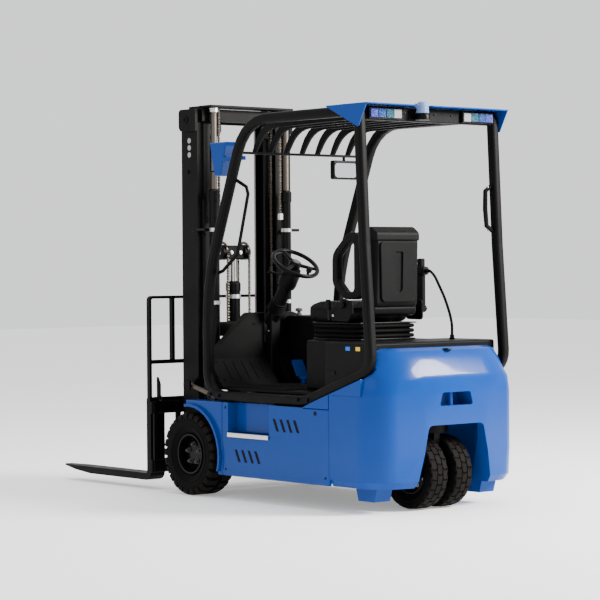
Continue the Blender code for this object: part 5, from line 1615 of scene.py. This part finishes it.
# ------------------------------------------------------------------ mast
@dataclass
class Chain:
    """A leaf chain strand hanging straight down from a top point."""

    top: Vector
    foot_z: float
    pitch: float = 0.0159
    plate: float = 0.0022
    leaves: int = 5
    height: float = 0.0140

    def build(self) -> bpy.types.Object:
        """Return the strand as one mesh of rows of link plates and their pins."""
        count = max(2, int((self.top.z - self.foot_z) / self.pitch))
        rows: list[bpy.types.Object] = []
        y = self.top.y - AXLE_Y
        half = self.height / 2
        for phase in (0, 1):
            z = self.foot_z + phase * self.pitch
            outline = [(y - half * 0.62, z - half * 0.55), (y + half * 0.62, z - half * 0.55),
                       (y + half, z), (y + half * 0.55, z + self.pitch / 2), (y + half, z + self.pitch),
                       (y + half * 0.62, z + self.pitch + half * 0.55),
                       (y - half * 0.62, z + self.pitch + half * 0.55), (y - half, z + self.pitch),
                       (y - half * 0.55, z + self.pitch / 2), (y - half, z)]
            for k in range(self.leaves):
                if k % 2 != phase:
                    continue
                x = self.top.x + (k - (self.leaves - 1) / 2) * self.plate
                leaf = Bench.plate(Axis.X, x - self.plate * 0.46, x + self.plate * 0.46, outline)
                rows.append(Bench.row(leaf, (count + 1 - phase) // 2, UP * (2 * self.pitch)))
        reach = self.plate * (self.leaves / 2 + 0.4)
        pin = Bench.bar(at(self.top.x - reach, y, self.foot_z), at(self.top.x + reach, y, self.foot_z), 0.0024, 6)
        rows.append(Bench.row(pin, count + 1, UP * self.pitch))
        return Bench.fused(rows)


@dataclass
class Mast(Assembly):
    """The three mast stages with their cylinders, chains, rollers and pipes."""

    lift_x: float = 0.262
    lift_y: float = -0.096
    free_y: float = -0.262

    def build(self) -> None:
        """Make the stages from the outside inwards."""
        self.outer()
        self.middle()
        self.inner()
        self.free_lift()

    def outer(self) -> None:
        """Outer rails, lift barrels, clamps, pipes and bolts."""
        self.body = "outer_mast"
        self.refine("outer_mast", Coat.BLACK, 0.0020, 30.0)
        self.outer_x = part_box("outer_mast")[1].x - 0.016
        for side, word in SIDES:
            node = f"lift_barrel_{word}"
            low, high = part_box(node)
            radius = (high.x - low.x) / 2
            foot = Vector(((low.x + high.x) / 2, (low.y + high.y) / 2, low.z))
            tall = high.z - low.z
            profile = [(radius, 0), (radius, tall - 0.070), (radius + 0.0040, tall - 0.066),
                       (radius + 0.0040, tall - 0.010), (radius - 0.002, tall - 0.004), (radius - 0.006, tall),
                       (0.0182, tall), (0.0182, tall - 0.05), (radius - 0.004, tall - 0.06), (radius - 0.004, 0)]
            self.keep(Bench.turned(foot, UP, profile, 36, edge=0.0008), f"lift_cylinder_{word}", Coat.SMOOTH_BLACK,
                      replaces=[node])
            rings = []
            for z in (0.62, 1.05, 1.46):
                rings.append(Bench.turned(Vector((foot.x, foot.y, z)), UP,
                                          [(radius + 0.0004, 0), (radius + 0.0038, 0.001), (radius + 0.0038, 0.021),
                                           (radius + 0.0004, 0.022)], 32))
            self.keep(Bench.fused(rings), f"lift_clamps_{word}", Coat.ZINC)
            strut = []
            for z in (0.630, 1.470):
                strut.append(Bench.block((side * (self.lift_x + 0.010), side * (self.outer_x - 0.004)),
                                         (-0.150, -0.118), (z - 0.006, z + 0.010), 0.002, 1))
            self.keep(Bench.fused(strut), f"lift_struts_{word}", Coat.BLACK)
            pipe_x = side * (self.lift_x + 0.046)
            line = [at(pipe_x, -0.138, 1.640), at(pipe_x, -0.138, 1.20), at(pipe_x, -0.138, 0.70),
                    at(pipe_x, -0.130, 0.52), at(pipe_x - side * 0.02, -0.080, 0.44)]
            self.keep(Bench.tube(line, 0.0050, 10, 5), f"oil_pipe_{word}", Coat.SMOOTH_BLACK)
            clips = [Bench.block((pipe_x - 0.009, pipe_x + 0.009), (-0.149, -0.1315), (z, z + 0.016), 0.0015, 1)
                     for z in (0.76, 1.10, 1.44)]
            self.keep(Bench.fused(clips), f"pipe_clips_{word}", Coat.SMOOTH_BLACK)
            spots = [at(side * 0.6, -0.236, 1.800), at(side * 0.6, -0.200, 0.300), at(side * 0.6, -0.260, 0.300)]
            self.keep(bolts("outer_mast", spots, RIGHT * -side, 0.0095, 0.0080), f"rail_bolts_{word}", Coat.BLACK)
            marks = []
            for z in (1.975, 1.935, 1.895):
                face = touch("outer_mast", at(side * 0.6, -0.222, z), RIGHT * -side)
                marks.append(Bench.turned(face, RIGHT * side, [(0, 0), (0.0150, 0), (0.0150, 0.0008), (0, 0.0009)], 28))
            if side > 0:
                self.keep(Bench.fused(marks), "blank_marks", Coat.LIGHT_MARK)
            else:
                for mark in marks:
                    bpy.data.objects.remove(mark)
            cap = touch("outer_mast", at(side * 0.6, -0.236, 2.092), RIGHT * -side)
            eye = Bench.turned(cap, RIGHT * side,
                               [(0.011, -0.001), (0.011, 0.0035), (0.020, 0.0035), (0.021, -0.001)], 28)
            plug = Bench.bar(cap - RIGHT * side * 0.001, cap + RIGHT * side * 0.0006, 0.0112, 24)
            self.keep(Bench.fused([eye, plug]), f"lifting_eye_{word}", Coat.BLACK)
            pivot = Bench.turned(at(side * 0.346, -0.108, 0.229), RIGHT * side,
                                 [(0, 0), (0.0240, 0), (0.0240, 0.005), (0.0150, 0.009), (0, 0.009)], 28)
            self.keep(pivot, f"pivot_cap_{word}", Coat.CAST)

    def middle(self) -> None:
        """Middle rails, chromed lift rods, head fittings and the stage chains."""
        self.body = "middle_mast"
        self.refine("middle_mast", Coat.BLACK, 0.0018, 30.0)
        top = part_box("middle_mast")[1].z
        for side, word in SIDES:
            rod = Bench.bar(at(side * self.lift_x, self.lift_y, 0.410),
                            at(side * self.lift_x, self.lift_y, top - 0.0145), 0.0174, 32)
            self.keep(rod, f"lift_rod_{word}", Coat.CHAIN)
            stop = Bench.turned(at(side * self.lift_x, self.lift_y, top - 0.040), UP,
                                [(0.0176, 0), (0.0260, 0), (0.0260, 0.022), (0.0220, 0.0255), (0.0176, 0.0255)], 32)
            self.keep(stop, f"rod_collar_{word}", Coat.ZINC)
            strand = Chain(at(side * 0.212, -0.1740, top - 0.020), 0.260).build()
            self.keep(strand, f"stage_chain_{word}", Coat.CHAIN)
            low_z, high_z = 0.260, top - 0.020
            list(at(side * 0.212, -0.1740, high_z))
            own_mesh(strand)
            wheel = Bench.turned(at(side * 0.196, -0.1865, 2.048), BACK,
                                 [(0, 0), (0.050, 0), (0.052, 0.002), (0.047, 0.006), (0.052, 0.0100), (0.050, 0.012),
                                  (0.030, 0.012), (0.028, 0.009), (0, 0.009)], 44)
            self.keep(wheel, f"head_pulley_{word}", Coat.SMOOTH_BLACK)
            self.keep(bolt(at(side * 0.196, -0.1777, 2.048), BACK, 0.0110, 0.0080), f"pulley_bolt_{word}", Coat.ZINC)
            bite = Bench.block((side * 0.200, side * 0.224), (-0.183, -0.165), (top - 0.034, top - 0.004), 0.002, 1)
            self.keep(bite, f"chain_anchor_{word}", Coat.ZINC)
            line = Chain(at(side * 0.2225, self.lift_y - 0.006, top - 0.020), 1.560).build()
            self.label(line, f"outer_chain_{word}")
            list(at(side * 0.2225, self.lift_y, 1.560))
            list(at(side * 0.2225, self.lift_y, top - 0.020))
            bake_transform(line)
            self.made += 1
            hook = Bench.block((side * 0.212, side * 0.246), (self.lift_y - 0.016, self.lift_y + 0.006), (1.530, 1.568),
                               0.002, 1)
            self.keep(hook, f"outer_anchor_{word}", Coat.ZINC, "outer_mast")

    @staticmethod
    def label(strand: bpy.types.Object, name: str) -> None:
        """Name and coat a chain strand that runs between two stages."""
        strand.name = name
        strand.data.name = name
        strand.data.materials.clear()
        strand.data.materials.append(Coat.CHAIN.material())

    def inner(self) -> None:
        """Inner rails and their roller tracks."""
        self.body = "inner_mast"
        self.refine("inner_mast", Coat.BLACK, 0.0018, 30.0)
        for side, word in SIDES:
            wear = Bench.block((side * 0.1836, side * 0.1856), (-0.292, -0.280), (0.260, 2.050), 0.0)
            self.keep(wear, f"roller_track_{word}", Coat.WORN)

    def free_lift(self) -> None:
        """The free-lift cylinder, its head block, sheaves and chains."""
        low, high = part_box("free_lift_barrel")
        radius = (high.x - low.x) / 2
        foot = Vector(((low.x + high.x) / 2, (low.y + high.y) / 2, low.z))
        tall = high.z - low.z
        profile = [(radius, 0), (radius, tall - 0.060), (radius + 0.0035, tall - 0.056),
                   (radius + 0.0035, tall - 0.014),
                   (radius - 0.002, tall - 0.006), (radius - 0.006, tall), (0.0262, tall), (0.0262, tall - 0.05),
                   (radius - 0.005, tall - 0.055), (radius - 0.005, 0)]
        self.keep(Bench.turned(foot, UP, profile, 40, edge=0.0008), "free_lift_cylinder", Coat.SMOOTH_BLACK,
                  "inner_mast", ["free_lift_barrel"])
        band = Bench.turned(foot + UP * (tall - 0.100), UP, [(radius + 0.0003, 0), (radius + 0.0042, 0.001),
                                                            (radius + 0.0042, 0.023), (radius + 0.0003, 0.024)], 36)
        self.keep(band, "free_lift_band", Coat.ZINC, "inner_mast")
        self.body = "free_lift_crosshead"
        self.refine("free_lift_crosshead", Coat.BLACK, 0.0022, 30.0)
        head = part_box("free_lift_crosshead")[1].z - 0.040
        rod = Bench.bar(Vector((0, foot.y, 0.215)), Vector((0, foot.y, head - 0.042)), 0.0249, 36)
        self.keep(rod, "free_lift_rod", Coat.CHROME)
        spots = [Vector((x, foot.y + 0.3, head - 0.005)) for x in (-0.032, 0.032)]
        self.keep(bolts("free_lift_crosshead", spots, -BACK, 0.0085, 0.0070), "crosshead_bolts", Coat.ZINC)
        for side, word in SIDES:
            x = side * 0.078
            outer = Bench.turned(Vector((x + side * 0.0200, foot.y, head)), RIGHT * side,
                                 [(0, 0), (0.0180, 0), (0.0180, 0.0030), (0.0120, 0.0060), (0, 0.0065)], 28)
            self.keep(outer, f"sheave_cap_{word}", Coat.ZINC)
            front = Chain(Vector((x, foot.y - 0.0445 - 0.0070, head)), 0.226)
            strand = front.build()
            self.keep(strand, f"front_chain_{word}", Coat.CHAIN)
            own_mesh(strand)
            arc = []
            link = Bench.block((x - 0.0055, x + 0.0055), (foot.y - AXLE_Y - 0.0585, foot.y - AXLE_Y - 0.0445),
                               (head - 0.0070, head + 0.0070), 0.0015, 1)
            slim = Bench.block((x - 0.0055, x + 0.0055), (foot.y - AXLE_Y - 0.0512, foot.y - AXLE_Y - 0.0445),
                               (head - 0.0070, head + 0.0070), 0.0015, 1)
            for k in range(1, 9):
                piece = Bench.copy(slim if k == 8 else link, Vector((0, 0, 0)))
                arc.append(Bench.turn(piece, -180 * k / 9, RIGHT, Vector((x, foot.y, head))))
            bpy.data.objects.remove(slim)
            arc.append(link)
            self.keep(Bench.fused(arc), f"sheave_chain_{word}", Coat.CHAIN)
            back = Chain(Vector((x, foot.y + 0.0515, head)), 0.780).build()
            self.label(back, f"back_chain_{word}")
            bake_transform(back)
            self.made += 1
            hook = Bench.block((x - 0.012, x + 0.012), (foot.y - AXLE_Y + 0.042, foot.y - AXLE_Y + 0.066),
                               (0.742, 0.786), 0.002, 1)
            self.keep(hook, f"back_anchor_{word}", Coat.ZINC, "inner_mast")


@dataclass
class Carriage(Assembly):
    """Fork carriage, backrest, forks, their pins and bolts."""

    body: str = "carriage"

    def build(self) -> None:
        """Make the carriage and what hangs on it."""
        self.refine("fork_carriage", Coat.BLACK, 0.0022, 30.0)
        self.refine("load_backrest", Coat.BLACK, 0.0030, 30.0)
        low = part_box("fork_carriage")[0]
        for side, word in SIDES:
            self.refine(f"fork_{word}", Coat.BLACK, 0.0030, 24.0)
            x = (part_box(f"fork_{word}")[0].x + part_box(f"fork_{word}")[1].x) / 2
            top = touch("fork_carriage", Vector((x, low.y + 0.020, 0.8)), -UP)
            pin = Bench.turned(top + UP * 0.0006, UP, [(0, 0), (0.010, 0), (0.010, 0.012), (0.014, 0.014),
                                                      (0.014, 0.024), (0.010, 0.028), (0, 0.028)], 24)
            self.keep(pin, f"fork_pin_{word}", Coat.ZINC)
            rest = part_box("load_backrest")
            starts = [Vector((px, rest[0].y - 0.3, rest[0].z + 0.012)) for px in (side * 0.224, side * 0.448)]
            self.keep(bolts("load_backrest", starts, BACK, 0.0080, 0.0070), f"backrest_bolts_{word}", Coat.BLACK)
            caps = []
            for z in (0.180, 0.500):
                centre = at(side * 0.1520, -0.268, z)
                caps.append(Bench.turned(centre, RIGHT * -side, [(0, 0), (0.0140, 0), (0.0140, 0.004), (0, 0.005)], 24))
            self.keep(Bench.fused(caps), f"roller_pins_{word}", Coat.ZINC)
            plate = rounded([(-0.382, 0.508, 0.004), (-0.352, 0.508, 0.010), (-0.352, 0.600, 0.020),
                             (-0.372, 0.640, 0.012), (-0.382, 0.640, 0.004)], 4)
            gusset = Bench.plate(Axis.X, side * 0.455, side * 0.463, plate, 0.0020, 2)
            self.keep(gusset, f"backrest_gusset_{word}", Coat.BLACK)
        notch = Bench.block((-0.400, -0.388), (low.y - AXLE_Y + 0.004, low.y - AXLE_Y + 0.026),
                            (0.5035, 0.5075), 0.0010, 1)
        self.keep(Bench.row(notch, 17, RIGHT * 0.0485), "carriage_notches", Coat.SMOOTH_BLACK)


@dataclass
class Cylinders(Assembly):
    """Tilt cylinders, steer head and steering gear."""

    def build(self) -> None:
        """Make both tilt cylinders and the steer head."""
        for side, word in SIDES:
            self.body = f"tilt_barrel_{word}"
            self.refine(f"tilt_barrel_{word}", Coat.SMOOTH_BLACK, 0.0020, 40.0)
            self.refine(f"tilt_rod_{word}", Coat.CHAIN, 0.0012, 40.0)
            base = at(side * 0.372, 0.420, 0.452)
            eye = at(side * 0.372, -0.190, 0.600)
            along = (eye - base).normalized()
            gland = Bench.turned(base + along * 0.350, along, [(0.0302, 0), (0.0340, 0.001), (0.0340, 0.030),
                                                             (0.0300, 0.033), (0.0302, 0.031)], 32)
            self.keep(gland, f"tilt_gland_{word}", Coat.CAST)
            port = base + along * 0.090 + UP * 0.029
            self.keep(bolt(port, UP, 0.0090, 0.0120), f"tilt_port_{word}", Coat.SMOOTH_BLACK)
        self.body = "steer_head"
        self.refine("steer_head", Coat.BLACK, 0.0030, 30.0)


@dataclass
class Rest(Assembly):
    """Every frame node that no other assembly stands for, in its own finish."""

    def build(self) -> None:
        """Refine the remaining nodes."""
        coats = {"blue_paint": Coat.BLUE, "black_paint": Coat.BLACK, "black_plastic": Coat.PLASTIC,
                 "tyre_rubber": Coat.TYRE, "rubber": Coat.HOSE, "seat_vinyl": Coat.VINYL,
                 "lamp_lens": Coat.BLUE_LENS, "bright_steel": Coat.CHROME, "grey_iron": Coat.CAST}
        slots = {part["node"]: part["material_slot"] for part in frame["record"]["subparts"]}
        for name, node in frame["nodes"].items():
            if not node.hide_render:
                self.refine(name, coats[slots[name]], 0.0018)


# ------------------------------------------------------------------ studio
@dataclass
class Studio:
    """Floor, light and camera."""

    eye: Vector = field(default_factory=lambda: at(8.034, 9.942, 1.261))
    azimuth: float = 140.09
    pitch: float = 0.852
    roll: float = -0.392
    focal: float = 135.18
    floor_half: float = 30.0

    def build(self) -> None:
        """Make the floor, the lamps, the sky and the camera."""
        self.floor()
        self.lamps()
        self.camera()

    def floor(self) -> None:
        """A pale studio floor."""
        bpy.ops.mesh.primitive_plane_add(size=2 * self.floor_half, location=(0, 0, -0.0005))
        plane = Bench.new()
        plane.name = "studio_floor"
        graph = Graph("studio_floor")
        cloud = graph.noise(0.6, 3.0)
        graph.set(Base_Color=graph.mix(cloud, rgb(0.86, 0.86, 0.86), rgb(0.90, 0.90, 0.90)), Roughness=0.75)
        graph.set(Emission_Color=rgb(1.0, 1.0, 1.0), Emission_Strength=0.30)
        graph.bump(graph.noise(40.0, 3.0), 0.0004, 0.3)
        plane.data.materials.append(graph.material)

    def lamp(self, name: str, place: Point, aim: Point, size: float, power: float, tint: Point) -> None:
        """Add one soft lamp.

        Args:
            name: Its name.
            place: Where it hangs.
            aim: What it points at.
            size: Width of its square face.
            power: Watts.
            tint: Colour of its light.
        """
        light = bpy.data.lights.new(name, "AREA")
        light.shape = "SQUARE"
        light.size = size
        light.energy = power
        light.color = tint
        obj = bpy.data.objects.new(name, light)
        obj.location = place
        obj.rotation_euler = (Vector(aim) - Vector(place)).to_track_quat("-Z", "Y").to_euler()
        bpy.context.scene.collection.objects.link(obj)

    def lamps(self) -> None:
        """Hang the studio's lamps and set its sky."""
        world = bpy.data.worlds.new("studio_sky")
        bpy.context.scene.world = world
        world.use_nodes = True
        sky = world.node_tree.nodes["Background"]
        sky.inputs["Color"].default_value = rgb(0.97, 0.98, 1.0)
        sky.inputs["Strength"].default_value = 1.25
        self.lamp("key", (-4.5, 6.5, 4.6), (0, 0.9, 0.5), 2.4, 2100.0, (1.0, 0.99, 0.97))
        self.lamp("side", (6.5, 2.0, 3.2), (0, 0, 0.8), 3.0, 30.0, (0.97, 0.99, 1.0))
        self.lamp("top", (0.0, 0.0, 6.5), (0, 0, 0), 4.0, 200.0, (1.0, 1.0, 1.0))

    def camera(self) -> None:
        """Place the camera."""
        turn = math.radians(self.azimuth)
        tilt = math.radians(self.pitch)
        bank = math.radians(self.roll)
        level = Vector((-math.sin(turn), math.cos(turn), 0))
        right = Vector((math.cos(turn), math.sin(turn), 0))
        up = Vector((0, 0, 1))
        ahead = level * math.cos(tilt) - up * math.sin(tilt)
        above = up * math.cos(tilt) + level * math.sin(tilt)
        across = right * math.cos(bank) + above * math.sin(bank)
        above = above * math.cos(bank) - right * math.sin(bank)
        lens = bpy.data.cameras.new("camera")
        lens.lens = self.focal
        lens.sensor_width = 36.0
        lens.clip_end = 100.0
        obj = bpy.data.objects.new("camera", lens)
        columns = Matrix((across, above, -ahead)).transposed().to_4x4()
        obj.matrix_world = Matrix.Translation(self.eye) @ columns
        bpy.context.scene.collection.objects.link(obj)
        bpy.context.scene.camera = obj


def main() -> None:
    """Build the studio and every assembly in order."""
    logging.basicConfig(level=logging.INFO, format="%(message)s")
    Studio().build()
    assemblies: list[Assembly] = [
        ControlCable(),
        *(FrontWheel(side=side, word=word) for side, word in SIDES),
        RearWheels(),
        Bodywork(),
        Guard(),
        Cab(),
        Seat(),
        Deck(),
        Mast(),
        Carriage(),
        Cylinders(),
        Rest(),
    ]
    for assembly in assemblies:
        assembly.build()
        LOG.info("%s: %d pieces", type(assembly).__name__, assembly.made)


if __name__ == "__main__":
    main()
